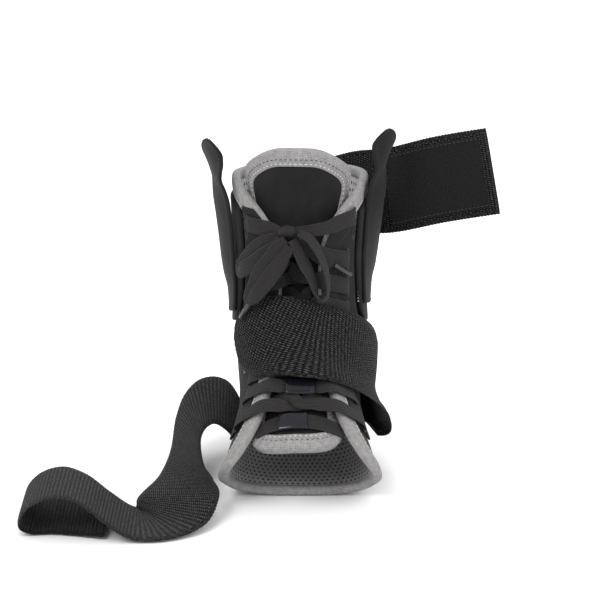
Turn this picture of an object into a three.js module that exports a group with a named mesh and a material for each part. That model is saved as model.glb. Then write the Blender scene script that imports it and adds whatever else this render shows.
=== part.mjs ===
import * as THREE from 'three';

// Lace-up ankle brace standing on its sole, laces tied, one strap closed, one loose and one held out.
// Millimetres. X runs across with the closed strap's foot on the right, Y from toes to heel, Z up.

// Driving sizes of the fitted form
const legHeight = 200;
const footReach = 116;
const legWidth = 75;

// Driving sizes of the cloth pieces
const bodyWall = 2.6;
const tapeThickness = 0.7;
const tapeWidth = 8.4;
const innerTapeWidth = 4.2;
const facingThickness = 1.2;
const pocketThickness = 2.6;
const flapThickness = 1.6;
const tongueThickness = 2.6;
const panelThickness = 0.7;
const tongueBindingWidth = 8.5;
const laceWidth = 9.5;
const laceThickness = 1;
const crossingWidth = 5.4;
const slitInset = 15;
const strapWidth = 50;
const strapThickness = 1.8;
const hookThickness = 0.8;
const hookInset = 4;
const keeperThickness = 0.8;
const agletLength = 13;
const agletRadius = 1.5;
const knotWidth = 13;
const clearance = 0.4;

// Heights of the layers above the inner face of the body, outward positive
const tapeBottom = bodyWall + 2 * clearance;
const tapeTop = tapeBottom + tapeThickness;
const facingBottom = bodyWall + clearance;
const facingTop = facingBottom + facingThickness;
const pocketTop = facingBottom + pocketThickness;
const flapBottom = pocketTop + clearance;
const laceLift = facingTop + 2.5 * clearance + laceThickness / 2;
const strapBottom = laceLift + laceThickness / 2 + 2 * clearance;
const innerTapeTop = -1.5 * clearance;
const innerTapeBottom = innerTapeTop - tapeThickness;
const underLaceLift = innerTapeBottom - clearance - laceThickness / 2;
const panelTop = underLaceLift - laceThickness / 2 - 3 * clearance;
const panelBottom = panelTop - panelThickness;
const tongueTop = panelBottom - 2 * clearance;
const tongueBottom = tongueTop - tongueThickness;
const crossingLower = underLaceLift + 0.5;
const crossingUpper = crossingLower + laceThickness + 2 * clearance;
const keeperGap = laceThickness / 2 + 1.5 * clearance;
const soleLevel = tapeTop;

const { degToRad, lerp, clamp } = THREE.MathUtils;

function table(names, values) {
  return values.map((row) => Object.fromEntries(names.map((name, i) => [name, row[i]])));
}

// Monotone cubic through one column, with the table's row number or another column as the variable
function columnCurve(source, name, variable) {
  const x = source.map((row, i) => (variable ? row[variable] : i));
  const y = source.map((row) => row[name]);
  const rise = y.slice(1).map((value, i) => (value - y[i]) / (x[i + 1] - x[i]));
  const slope = y.map((value, i) => {
    if (i === 0) return rise[0];
    if (i === y.length - 1) return rise[i - 1];
    const product = rise[i - 1] * rise[i];
    return product > 0 ? (2 * product) / (rise[i - 1] + rise[i]) : 0;
  });
  return (at) => {
    let i = 0;
    while (i < x.length - 2 && at > x[i + 1]) i += 1;
    const span = x[i + 1] - x[i];
    const t = clamp((at - x[i]) / span, -0.5, 1.5);
    const t2 = t * t;
    const t3 = t2 * t;
    return (2 * t3 - 3 * t2 + 1) * y[i] + (t3 - 2 * t2 + t) * span * slope[i]
      + (3 * t2 - 2 * t3) * y[i + 1] + (t3 - t2) * span * slope[i + 1];
  };
}

// The form: sections that fan from level at the leg to upright at the foot. Each row is one station.
// Y is a share of footReach, Z of legHeight above the sole, halfWidth of half the legWidth;
// widest is where along the section it is widest, and the powers round its front and back.
const formColumns = ['frontY', 'frontZ', 'backY', 'backZ', 'halfWidth', 'widest', 'frontPower', 'backPower'];
const formTable = table(formColumns, [
  [-0.397, 1.000, 0.405, 1.000, 1.000, 0.50, 2.0, 2.0],
  [-0.375, 0.872, 0.375, 0.872, 0.960, 0.50, 2.0, 2.0],
  [-0.362, 0.742, 0.345, 0.732, 0.920, 0.50, 2.0, 2.0],
  [-0.371, 0.627, 0.332, 0.577, 0.880, 0.50, 2.0, 2.1],
  [-0.405, 0.532, 0.362, 0.432, 0.893, 0.48, 2.0, 2.1],
  [-0.474, 0.452, 0.440, 0.282, 0.920, 0.46, 2.0, 2.1],
  [-0.543, 0.397, 0.513, 0.142, 0.907, 0.45, 2.0, 2.2],
  [-0.603, 0.359, 0.474, 0.027, 0.880, 0.50, 2.0, 2.4],
  [-0.664, 0.327, 0.172, 0.000, 0.880, 0.60, 2.1, 2.9],
  [-0.741, 0.289, -0.216, 0.000, 0.933, 0.66, 2.2, 3.0],
  [-0.845, 0.239, -0.534, 0.000, 1.040, 0.70, 2.2, 2.7],
  [-1.000, 0.172, -0.819, 0.000, 1.147, 0.72, 2.3, 2.5],
]);
const form = Object.fromEntries(formColumns.map((name) => [name, columnCurve(formTable, name)]));

function formPoint(angle, station) {
  const turn = degToRad(angle);
  const side = Math.sin(turn);
  const ahead = Math.cos(turn);
  const power = ahead > 0 ? form.frontPower(station) : form.backPower(station);
  const norm = (Math.abs(side) ** power + Math.abs(ahead) ** power) ** (1 / power);
  const widest = form.widest(station);
  const share = widest - (ahead > 0 ? widest : 1 - widest) * (ahead / norm);
  return new THREE.Vector3(
    (legWidth / 2) * form.halfWidth(station) * (side / norm),
    footReach * lerp(form.frontY(station), form.backY(station), share),
    soleLevel + legHeight * lerp(form.frontZ(station), form.backZ(station), share),
  );
}

// The two directions that lie in the form at a place, and its outward normal
const probe = { angle: 0.5, station: 0.02 };
function formFrame(angle, station) {
  const alongAngle = formPoint(angle + probe.angle, station)
    .sub(formPoint(angle - probe.angle, station)).divideScalar(2 * probe.angle);
  const alongStation = formPoint(angle, station + probe.station)
    .sub(formPoint(angle, station - probe.station)).divideScalar(2 * probe.station);
  const normal = new THREE.Vector3().crossVectors(alongStation, alongAngle).normalize();
  return { alongAngle, alongStation, normal };
}

function lifted(place, lift) {
  return formPoint(place.angle, place.station)
    .addScaledVector(formFrame(place.angle, place.station).normal, lift);
}

// Walks a distance over the form from a place, starting along a heading in space
const strideLength = 2;
function walk(place, heading, distance) {
  const strides = Math.max(1, Math.ceil(Math.abs(distance) / strideLength));
  const stride = distance / strides;
  let { angle, station } = place;
  const ahead = heading.clone();
  for (let n = 0; n < strides; n += 1) {
    const { alongAngle: a, alongStation: s } = formFrame(angle, station);
    const aa = a.dot(a);
    const as = a.dot(s);
    const ss = s.dot(s);
    const area = aa * ss - as * as;
    const ha = ahead.dot(a);
    const hs = ahead.dot(s);
    const move = a.clone().multiplyScalar((ha * ss - hs * as) / area)
      .addScaledVector(s, (hs * aa - ha * as) / area);
    const scale = stride / move.length();
    angle += (scale * (ha * ss - hs * as)) / area;
    station += (scale * (hs * aa - ha * as)) / area;
    ahead.copy(move).normalize();
  }
  return { angle, station };
}

// Flat map of the form, close to millimetres, in which routes are drawn as smooth curves
const mapAngle = degToRad(legWidth / 2);
const mapStation = legHeight / 13;
const toMap = ({ angle, station, lift = 0 }) => new THREE.Vector3(angle * mapAngle, station * mapStation, lift);
const fromMap = (p) => ({ angle: p.x / mapAngle, station: p.y / mapStation, lift: p.z });

// Places at even spacing along a smooth route over the form, closer together where it bends
const samplesPerPlace = 8;
const bendReach = 14;
function evenPlaces(route, count, closed) {
  const curve = new THREE.CatmullRomCurve3(route.map(toMap), closed, 'centripetal');
  const fine = [];
  const total = count * samplesPerPlace;
  for (let n = 0; n <= total; n += 1) fine.push({ ...fromMap(curve.getPoint(n / total)), t: n / total });
  const points = fine.map((place) => lifted(place, place.lift));
  const length = [0];
  for (let n = 1; n <= total; n += 1) {
    const step = points[n].clone().sub(points[n - 1]);
    const bend = n > 1 ? step.angleTo(points[n - 1].clone().sub(points[n - 2])) : 0;
    length.push(length[n - 1] + step.length() + bendReach * bend);
  }
  const steps = closed ? count : count - 1;
  return Array.from({ length: count }, (unused, i) => {
    const wanted = (length[total] * i) / steps;
    let n = 1;
    while (n < total && length[n] < wanted) n += 1;
    const mix = clamp((wanted - length[n - 1]) / (length[n] - length[n - 1]), 0, 1);
    const t = lerp(fine[n - 1].t, fine[n].t, mix);
    return { ...fromMap(curve.getPoint(t)), t, share: i / steps, run: wanted, total: length[total] };
  });
}

// Collects four-cornered faces, each cut along its shorter diagonal
function quadMesh(points) {
  const index = [];
  const quad = (a, b, c, d) => {
    const isFirst = points[a].distanceToSquared(points[c]) <= points[b].distanceToSquared(points[d]);
    index.push(...(isFirst ? [a, b, c, a, c, d] : [a, b, d, b, c, d]));
  };
  return { quad, index };
}

// Closed solid between an outer and an inner sheet of points, rows by columns
function sheetSolid(outer, inner, rowsWrap = false) {
  const rowCount = outer.length;
  const columnCount = outer[0].length;
  const points = [...outer, ...inner].flat();
  const out = (i, j) => (i % rowCount) * columnCount + j;
  const inn = (i, j) => rowCount * columnCount + out(i, j);
  const { quad, index } = quadMesh(points);
  const rowSteps = rowsWrap ? rowCount : rowCount - 1;
  const last = columnCount - 1;
  for (let i = 0; i < rowSteps; i += 1) {
    for (let j = 0; j < last; j += 1) {
      quad(out(i, j), out(i + 1, j), out(i + 1, j + 1), out(i, j + 1));
      quad(inn(i, j), inn(i, j + 1), inn(i + 1, j + 1), inn(i + 1, j));
    }
    quad(out(i + 1, 0), out(i, 0), inn(i, 0), inn(i + 1, 0));
    quad(out(i, last), out(i + 1, last), inn(i + 1, last), inn(i, last));
  }
  if (!rowsWrap) {
    const end = rowCount - 1;
    for (let j = 0; j < last; j += 1) {
      quad(out(0, j), out(0, j + 1), inn(0, j + 1), inn(0, j));
      quad(out(end, j + 1), out(end, j), inn(end, j), inn(end, j + 1));
    }
  }
  return facingOut(points, index);
}

// Closed ring swept through sections that are closed outlines
function ringSolid(sections) {
  const sectionSize = sections[0].length;
  const points = sections.flat();
  const at = (i, j) => (i % sections.length) * sectionSize + (j % sectionSize);
  const { quad, index } = quadMesh(points);
  for (let i = 0; i < sections.length; i += 1) {
    for (let j = 0; j < sectionSize; j += 1) quad(at(i, j), at(i + 1, j), at(i + 1, j + 1), at(i, j + 1));
  }
  return facingOut(points, index);
}

// Indexed geometry, turned over if its faces point inward
function facingOut(points, index) {
  let volume = 0;
  for (let n = 0; n < index.length; n += 3) {
    const [a, b, c] = index.slice(n, n + 3).map((corner) => points[corner]);
    volume += a.dot(b.clone().cross(c));
  }
  const geometry = new THREE.BufferGeometry().setFromPoints(points);
  geometry.setIndex(volume < 0 ? [...index].reverse() : index);
  geometry.computeVertexNormals();
  return geometry;
}

const liftSheet = (places, lift) => places.map((row) => row.map((place) => (
  lifted(place, typeof lift === 'function' ? lift(place) : lift))));

function formSheet(places, bottom, thickness, rowsWrap = false) {
  const top = typeof bottom === 'function' ? (place) => bottom(place) + thickness : bottom + thickness;
  return sheetSolid(liftSheet(places, top), liftSheet(places, bottom), rowsWrap);
}

// Directions along and across a route at each of its places, in space
function routeFrames(places, closed = false) {
  const points = places.map((place) => lifted(place, place.lift ?? 0));
  return places.map((place, i) => {
    const before = closed ? (i + places.length - 1) % places.length : Math.max(i - 1, 0);
    const after = closed ? (i + 1) % places.length : Math.min(i + 1, places.length - 1);
    const along = points[after].clone().sub(points[before]).normalize();
    const { normal } = formFrame(place.angle, place.station);
    const across = new THREE.Vector3().crossVectors(normal, along).normalize();
    return { point: points[i], along, across, normal: new THREE.Vector3().crossVectors(along, across) };
  });
}

const sides = [{ name: 'right', sign: 1 }, { name: 'left', sign: -1 }];

const group = new THREE.Group();
function addPart(name, geometry, color, roughness) {
  const mesh = new THREE.Mesh(geometry, new THREE.MeshStandardMaterial({ color, roughness, metalness: 0 }));
  mesh.name = name;
  group.add(mesh);
  return mesh;
}
const meshGrey = 0x8f9092;
const tapeGrey = 0xa5a4a6;
const clothBlack = 0x1d1c1f;
const webbingBlack = 0x141416;
const laceBlack = 0x242326;
const glossBlack = 0x101014;
const clearPlastic = 0xd9dcde;

// Rim of the body: top edge, lacing edge and foot opening of the right half, from back to sole centre
const rimHalf = table(['angle', 'station'], [
  [180, 1.42], [150, 1.38], [120, 1.32], [90, 1.30], [70, 1.42], [50, 1.66], [36, 1.95], [27, 2.30],
  [21, 2.75], [19.5, 3.30], [19.5, 4.0], [20, 5.0], [22.5, 6.0], [25, 7.0], [28, 8.0], [31, 9.0],
  [36, 9.85], [43, 10.35], [52, 10.70], [64, 10.85], [80, 10.80], [96, 10.60], [114, 10.45],
  [140, 10.40], [180, 10.40],
]);
const rimOther = rimHalf.slice(1, -1).reverse().map(({ angle, station }) => ({ angle: 360 - angle, station }));
const rimCount = 72;
const rim = evenPlaces([...rimHalf, ...rimOther], rimCount, true);
const rimFrames = routeFrames(rim, true);
const inFromRim = (i, distance) => walk(rim[i], rimFrames[i].across, distance);

// Open heel
const heel = { angle: 180, station: 6.85, halfAngle: 46, halfStation: 1.3 };
function heelPlace(turn) {
  return {
    angle: heel.angle + heel.halfAngle * Math.cos(turn),
    station: heel.station + heel.halfStation * Math.sin(turn),
  };
}

// Body: one wall from the rim to the heel opening
const bodyRings = 6;
function bodyRow(place, i) {
  const start = inFromRim(i, tapeWidth);
  const turn = Math.atan2((place.station - heel.station) * mapStation, (place.angle - heel.angle) * mapAngle);
  const end = heelPlace(turn);
  const row = [place, inFromRim(i, tapeWidth / 2), start];
  for (let n = 1; n <= bodyRings; n += 1) {
    const share = n / bodyRings;
    row.push({ angle: lerp(start.angle, end.angle, share), station: lerp(start.station, end.station, share) });
  }
  return row;
}
addPart('body', formSheet(rim.map(bodyRow), 0, bodyWall, true), meshGrey, 0.85);

// Tape folded over an edge: outer leg, nose past the edge, inner leg
function tapeSection(place, inward, tape) {
  const at = (distance, lift) => lifted(walk(place, inward, distance), lift);
  const nose = -clearance - tapeThickness;
  const outerBottom = tape.outerTop - tapeThickness;
  const innerTop = tape.innerBottom + tapeThickness;
  return [
    at(tape.outerWidth, tape.outerTop), at(tape.outerWidth / 2, tape.outerTop), at(0, tape.outerTop),
    at(nose, tape.outerTop), at(nose, tape.innerBottom), at(tape.innerWidth, tape.innerBottom),
    at(tape.innerWidth, innerTop), at(0, innerTop), at(-clearance, innerTop), at(-clearance, outerBottom),
    at(0, outerBottom), at(tape.outerWidth / 2, outerBottom), at(tape.outerWidth, outerBottom),
  ];
}
const bodyTape = {
  outerWidth: tapeWidth, innerWidth: innerTapeWidth, outerTop: tapeTop, innerBottom: innerTapeBottom,
};
const edgeSections = rim.map((place, i) => tapeSection(place, rimFrames[i].across, bodyTape));
addPart('edge_tape', ringSolid(edgeSections), tapeGrey, 0.9);

const heelCount = 22;
const heelTape = { ...bodyTape, outerWidth: innerTapeWidth };
const heelRing = Array.from({ length: heelCount }, (unused, i) => heelPlace((2 * Math.PI * i) / heelCount));
const heelFrames = routeFrames(heelRing, true);
const heelMiddle = formPoint(heel.angle, heel.station);
function heelSection(place, i) {
  const { point, across } = heelFrames[i];
  const outward = across.clone();
  if (point.clone().sub(heelMiddle).dot(outward) < 0) outward.negate();
  return tapeSection(place, outward, heelTape);
}
addPart('heel_tape', ringSolid(heelRing.map(heelSection)), tapeGrey, 0.9);

// Tongue: half angle of its outline at each station, from its round top to the foot
const tongueTable = table(['station', 'halfAngle'], [
  [0.40, 20], [0.43, 32], [0.50, 43], [0.62, 52], [0.80, 59], [1.05, 63], [1.40, 64], [1.90, 60],
  [2.50, 54], [3.30, 48], [4.50, 46], [6.00, 45], [7.50, 44], [8.80, 42], [9.80, 39], [10.50, 35],
  [10.85, 30], [10.98, 20],
]);
const tongueCentre = -4;
const tongueColumns = 6;
const tongueGap = 0.7;
const tongueWidthAt = columnCurve(tongueTable, 'halfAngle', 'station');
const tongueRows = tongueTable.flatMap(({ station }, i) => {
  const next = tongueTable[i + 1]?.station ?? station;
  const parts = Math.max(1, Math.round((next - station) / tongueGap));
  return Array.from({ length: parts }, (unused, n) => lerp(station, next, n / parts));
}).map((station) => ({ station, halfAngle: tongueWidthAt(station) }));
const spread = (station, halfAngle) => Array.from({ length: tongueColumns + 1 }, (unused, j) => (
  { angle: tongueCentre + halfAngle * ((2 * j) / tongueColumns - 1), station }));
const tonguePlaces = tongueRows.map(({ station, halfAngle }) => spread(station, halfAngle));
addPart('tongue', formSheet(tonguePlaces, tongueBottom, tongueThickness), tapeGrey, 0.9);

const tongueRight = tongueRows.map(({ station, halfAngle }) => ({ angle: tongueCentre + halfAngle, station }));
const tongueLeft = tongueRight.map(({ angle, station }) => ({ angle: 2 * tongueCentre - angle, station })).reverse();
const tongueFoot = tonguePlaces.at(-1).slice(1, -1).reverse();
const tongueRim = [...tongueRight, ...tongueFoot, ...tongueLeft, ...tonguePlaces[0].slice(1, -1)];
const tongueFrames = routeFrames(tongueRim, true);
const tongueTape = {
  outerWidth: tongueBindingWidth, innerWidth: innerTapeWidth,
  outerTop: panelTop, innerBottom: tongueBottom - 2 * clearance - tapeThickness,
};
const bindingSection = (place, i) => tapeSection(place, tongueFrames[i].across.clone().negate(), tongueTape);
addPart('tongue_binding', ringSolid(tongueRim.map(bindingSection)), tapeGrey, 0.9);

const panelFrames = routeFrames(tongueRight);
const panelEdge = tongueRight
  .map((place, i) => walk(place, panelFrames[i].across.clone().negate(), tongueBindingWidth + clearance))
  .reduce((kept, place) => (kept.length && place.station < kept.at(-1).station + 0.03 ? kept : [...kept, place]), []);
const panelPlaces = panelEdge.map(({ angle, station }) => spread(station, angle - tongueCentre));
addPart('tongue_panel', formSheet(panelPlaces, panelBottom, panelThickness), clothBlack, 0.8);

// Facing beside each lacing edge, from the tape to its outer half angle at each station
const facingTable = table(['station', 'halfAngle'], [
  [1.8, 57], [3, 57], [5, 58], [6, 60], [7, 63], [8, 66], [9, 68], [10, 70], [11, 72],
]);
const facingAngle = columnCurve(facingTable, 'halfAngle', 'station');
const facingColumns = 3;
const lacing = { top: 2.3, bottom: 9.95 };
const onLacingEdge = ({ angle, station }) => angle < 40 && station > lacing.top && station < lacing.bottom;
const facingPlaces = rim.map((place, i) => ({ place, i })).filter(({ place }) => onLacingEdge(place)).map(({ i }) => {
  const start = inFromRim(i, tapeWidth + clearance);
  const end = facingAngle(start.station);
  return Array.from({ length: facingColumns + 1 }, (unused, j) => (
    { angle: lerp(start.angle, end, j / facingColumns), station: start.station }));
});
const edgeAngle = columnCurve(rim.filter(onLacingEdge), 'angle', 'station');
const sidePlaces = (places, sign) => places.map((row) => row.map(({ angle, station }) => ({ angle: sign * angle, station })));
sides.forEach(({ name, sign }) => {
  const geometry = formSheet(sidePlaces(facingPlaces, sign), facingBottom, facingThickness);
  addPart(`facing_${name}`, geometry, clothBlack, 0.75);
});

// Stay pocket behind each facing, under the top tape
const rimTop = columnCurve(rimHalf.filter(({ station }) => station < 2).reverse(), 'station', 'angle');
const pocketTable = table(['share', 'front', 'back'], [
  [0, 3, 100], [0.1, 2, 104], [0.35, 2, 106], [0.7, 3, 102], [0.9, 6, 94], [1, 12, 84],
]);
const pocketFoot = 4.75;
const tapeDrop = (tapeWidth + 3 * clearance) / (legHeight * 0.128);
const pocketFront = columnCurve(pocketTable, 'front', 'share');
const pocketBack = columnCurve(pocketTable, 'back', 'share');
const pocketRows = 9;
const pocketColumns = 4;
const pocketPlaces = Array.from({ length: pocketRows + 1 }, (unusedRow, i) => {
  const share = i / pocketRows;
  return Array.from({ length: pocketColumns + 1 }, (unused, j) => {
    const front = facingAngle(lerp(1.9, pocketFoot, share)) + pocketFront(share);
    const angle = lerp(front, pocketBack(share), j / pocketColumns);
    return { angle, station: lerp(rimTop(angle) + tapeDrop, pocketFoot, share) };
  });
});

// Side flap over each pocket, with a round tab that leans out above the rim
const flapTable = table(['station', 'halfAngle', 'lean', 'rear'], [
  [0, 5, 1.05, 0.9], [0.08, 10, 1.03, 0.95], [0.25, 14.5, 1, 1], [0.55, 16, 0.95, 1], [0.85, 14, 0.85, 0.86],
  [1.2, 12.5, 0.68, 0.7], [1.7, 13, 0.5, 0.7], [2.6, 14, 0.42, 0.63], [3.1, 14.5, 0.28, 0.45], [3.5, 15, 0.1, 0.17],
  [4.1, 15, 0, 0],
]);
const flapCentre = 80;
const flapLean = { right: 6.5, left: 9 };
const flapRear = 3.5;
const flapTop = { right: 0.28, left: 0.45 };
const flapColumns = 4;
const flapWidthAt = columnCurve(flapTable, 'halfAngle', 'station');
const flapLeanAt = columnCurve(flapTable, 'lean', 'station');
const flapRearAt = columnCurve(flapTable, 'rear', 'station');
const flapDrops = [0, 0.06, 0.15, 0.3, 0.5, 0.75, 1.05, 1.4, 1.9, 2.5, 3.1, 3.6, 4.05];
function flapPlaces(name) {
  return flapDrops.map((drop) => Array.from({ length: flapColumns + 1 }, (unused, j) => {
    const c = (2 * j) / flapColumns - 1;
    const lean = flapLean[name] * flapLeanAt(drop) + flapRear * flapRearAt(drop) * c;
    return {
      angle: flapCentre + flapWidthAt(drop) * c,
      station: flapTop[name] + drop,
      lift: flapBottom + Math.max(0, lean),
    };
  }));
}
sides.forEach(({ name, sign }) => {
  addPart(`pocket_${name}`, formSheet(sidePlaces(pocketPlaces, sign), facingBottom, pocketThickness), clothBlack, 0.7);
  const places = flapPlaces(name).map((row) => row.map((place) => ({ ...place, angle: sign * place.angle })));
  addPart(`flap_${name}`, formSheet(places, (place) => place.lift, flapThickness), clothBlack, 0.7);
});

// Flat ribbon through a route over the form, its face turned about its length by twist in degrees
function ribbon(places, widthAt, thickness, columns = 1) {
  const frames = routeFrames(places);
  const top = [];
  const bottom = [];
  frames.forEach(({ point, along, across, normal }, i) => {
    const turn = degToRad(places[i].twist ?? 0);
    const wide = across.clone().applyAxisAngle(along, turn);
    const high = normal.clone().applyAxisAngle(along, turn);
    const row = (lift) => Array.from({ length: columns + 1 }, (unused, j) => point.clone()
      .addScaledVector(wide, (widthAt(point) / 2) * ((2 * j) / columns - 1)).addScaledVector(high, lift));
    top.push(row(thickness / 2));
    bottom.push(row(-thickness / 2));
  });
  return sheetSolid(top, bottom);
}

// Lacing: slit stations up each facing and the station where each pair of laces crosses
const slitStations = [9.4, 8.4, 7.4, 6.3, 5.3, 4.55, 3.85, 3.15, 2.45];
const crossStations = [9.6, 8.6, 7.38, 6.03, 5.03, 4.27, 3.56, 2.88];
const barStation = 10.38;
function beyondEdge(station, distance) {
  const edge = edgeAngle(clamp(station, lacing.top, lacing.bottom));
  return edge + distance / formFrame(edge, station).alongAngle.length();
}
const smooth = (t) => t * t * (3 - 2 * t);
const crossingHalf = 5.5;
const laceSpread = crossingWidth + 2 * clearance;
const laceRise = 0.7;
const crossingGap = 3.3;
function crossingRoute(sign, row, isUpper) {
  const centre = crossStations[row];
  const { alongAngle, alongStation } = formFrame(0, centre);
  const slitAngle = beyondEdge(slitStations[row], slitInset);
  const overStation = (angle) => lerp(centre, slitStations[row], smooth(clamp(angle / slitAngle, 0, 1)));
  const middle = crossingHalf / alongAngle.length();
  const spreadStation = laceSpread / alongStation.length();
  const crossing = isUpper ? crossingUpper : crossingLower;
  const over = [slitInset, tapeWidth / 2, -crossingGap].map((distance) => (
    { angle: beyondEdge(slitStations[row], distance), lift: laceLift }));
  const rise = laceRise * (beyondEdge(centre, -crossingGap) - middle) * alongAngle.length();
  over.push({ angle: middle, lift: isUpper ? Math.max(crossingUpper, laceLift - rise) : crossingLower });
  const under = [
    { angle: middle, lift: crossing },
    { angle: beyondEdge(centre, -crossingGap), lift: underLaceLift },
  ].map((place) => ({ ...place, station: overStation(place.angle) - spreadStation }));
  [innerTapeWidth, slitInset].forEach((distance) => under.push(
    { angle: beyondEdge(slitStations[row + 1], distance), lift: underLaceLift, station: slitStations[row + 1] }));
  return [
    ...over.map(({ angle, lift }) => ({ angle: sign * angle, lift, station: overStation(angle) })),
    { angle: 0, station: centre, lift: crossing },
    ...under.map((place) => ({ ...place, angle: -sign * place.angle })),
  ];
}
const laceFull = () => laceWidth;
const laceBunched = ({ x }) => lerp(crossingWidth, laceWidth, smooth(clamp(Math.abs(x) / crossingHalf - 2, 0, 1)));
const lacePart = (name, route, count, widthAt = laceFull) => addPart(
  name, ribbon(evenPlaces(route, count, false), widthAt, laceThickness), laceBlack, 0.6);
crossStations.forEach((station, row) => {
  sides.forEach(({ name, sign }) => {
    const isUpper = (row % 2 === 0) === (sign > 0);
    lacePart(`lace_${name}_${row + 1}`, crossingRoute(sign, row, isUpper), 13, laceBunched);
  });
});
const barRoute = [-1, -0.5, 0, 0.5, 1].map((c) => (
  { angle: c * beyondEdge(slitStations[0], innerTapeWidth), station: lerp(barStation, 9.75, c * c), lift: underLaceLift }));
lacePart('lace_bar', barRoute, 9);


// Glossy keepers on the tongue, bowed over the bar and the second crossing
const keeperTable = table(['station', 'width', 'over'], [
  [barStation, 18, underLaceLift], [crossStations[1], 19, crossingUpper],
]);
const keeperLip = 0.5;
const keeperSpring = 2.8;
keeperTable.forEach(({ station, width, over }, n) => {
  const reach = laceWidth / 2 + clearance;
  const { alongAngle, alongStation } = formFrame(0, station);
  const places = [-reach, -reach / 2, 0, reach / 2, reach].map((drop) => [-1, -0.5, 0, 0.5, 1].map((c) => ({
    angle: (c * width) / 2 / alongAngle.length(),
    station: station + drop / alongStation.length(),
    lift: over + keeperGap + keeperLip * (1 - (drop / reach) ** 2) + n * keeperSpring * c * c,
  })));
  addPart(`keeper_${n + 1}`, formSheet(places, (place) => place.lift, keeperThickness), glossBlack, 0.2);
});

// Closed strap: from the right of the sole up across the front to its round end on the left.
// Lift is above the laces, flare bows its lower edge out.
const closedStrapTable = table(['angle', 'station', 'lift', 'flare'], [
  [118, 8.15, -2.6, 0], [106, 7.9, -1, 5], [94, 7.65, 0, 9], [80, 7.35, 0, 7], [65, 6.95, 0, 2], [48, 6.6, 0, 0],
  [25, 6.2, 0, 0], [0, 5.85, 0, 0], [-25, 5.5, 0, 0], [-48, 5.2, 0, 0], [-63, 4.95, 0, 0],
]);
const closedStrapCount = 26;
const closedStrapColumns = 6;
const strapEndPower = 2.1;
const strapEndLength = 0.72 * strapWidth;
const closedRoute = evenPlaces(closedStrapTable, closedStrapCount, false);
const closedFlare = columnCurve(closedStrapTable.map((row, n) => ({ ...row, n })), 'flare');
const closedFrames = routeFrames(closedRoute);
const closedPlaces = closedRoute.map((place, i) => {
  const toEnd = place.total - place.run;
  const into = clamp(1 - toEnd / strapEndLength, 0, 0.985);
  const half = (strapWidth / 2) * (1 - into ** strapEndPower) ** (1 / strapEndPower);
  const flare = closedFlare(place.t * (closedStrapTable.length - 1));
  return Array.from({ length: closedStrapColumns + 1 }, (unused, j) => {
    const c = (2 * j) / closedStrapColumns - 1;
    const spot = c === 0 ? place : walk(place, closedFrames[i].across, c * half);
    return { ...spot, lift: strapBottom + place.lift + flare * Math.max(0, c) ** 2 };
  });
});
addPart('strap_closed', formSheet(closedPlaces, (place) => place.lift, strapThickness), webbingBlack, 0.9);

// Strap through stations in space: centre, and the heading of its width
function spaceStrap(stations, width, thickness, count, columns, lift = 0) {
  const curve = (read) => new THREE.CatmullRomCurve3(stations.map(read), false, 'centripetal');
  const centres = curve((row) => new THREE.Vector3(row.x, row.y, row.z));
  const widths = curve((row) => new THREE.Vector3(row.wideX, row.wideY, row.wideZ).normalize().multiplyScalar(100));
  const top = [];
  const bottom = [];
  for (let i = 0; i < count; i += 1) {
    const t = i / (count - 1);
    const centre = centres.getPoint(t);
    const along = centres.getTangent(t);
    const wide = widths.getPoint(t).normalize();
    const high = new THREE.Vector3().crossVectors(wide, along).normalize();
    const row = (shift) => Array.from({ length: columns + 1 }, (unused, j) => centre.clone()
      .addScaledVector(wide, (width / 2) * ((2 * j) / columns - 1)).addScaledVector(high, shift));
    top.push(row(lift + thickness / 2));
    bottom.push(row(lift - thickness / 2));
  }
  return sheetSolid(top, bottom);
}

// Loose strap: off the left of the sole, down to the floor, turned left, over its own loop and back under.
// Places are shares of looseReach, with X to the left. The first is at looseStart of half the leg's width.
const looseReach = 154;
const looseStart = 0.908;
const looseColumns = ['x', 'y', 'z', 'wideX', 'wideY', 'wideZ'];
const looseTable = table(looseColumns, [
  [0.221, -0.013, 0.075, 0, 1, 0.25], [0.238, -0.013, 0.135, 0, 1, 0.3], [0.280, -0.018, 0.200, 0, 1, 0.32],
  [0.330, -0.032, 0.228, 0.05, 1, 0.3], [0.374, -0.060, 0.222, 0.14, 1, 0.3], [0.408, -0.095, 0.190, 0.25, 1, 0.22],
  [0.425, -0.160, 0.145, 0.35, 1, 0.05], [0.424, -0.290, 0.085, 0.45, 0.95, -0.12],
  [0.420, -0.490, 0.070, 0.70, 0.78, -0.22], [0.440, -0.680, 0.058, 0.92, 0.40, -0.12],
  [0.462, -0.775, 0.030, 0.82, 0.62, -0.02], [0.520, -0.820, 0.012, 0.35, 0.95, 0],
  [0.600, -0.826, 0.022, 0, 1, 0], [0.682, -0.822, 0.075, 0, 1, 0], [0.772, -0.820, 0.145, 0, 1, 0],
  [0.850, -0.818, 0.172, 0, 1, 0], [0.935, -0.815, 0.146, 0, 1, 0], [0.990, -0.812, 0.085, 0, 1, 0],
  [0.992, -0.810, 0.035, 0, 1, 0], [0.950, -0.808, 0.010, 0, 1, 0], [0.870, -0.805, 0.009, 0, 1, 0],
  [0.715, -0.800, 0.009, 0, 1, 0],
]);
const looseStations = looseTable.map((row) => ({
  ...row,
  x: -(looseStart * legWidth / 2 + (row.x - looseTable[0].x) * looseReach),
  y: row.y * looseReach,
  z: row.z * looseReach,
  wideX: -row.wideX,
}));
addPart('strap_loose', spaceStrap(looseStations, strapWidth, strapThickness, 48, 1), webbingBlack, 0.9);

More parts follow.
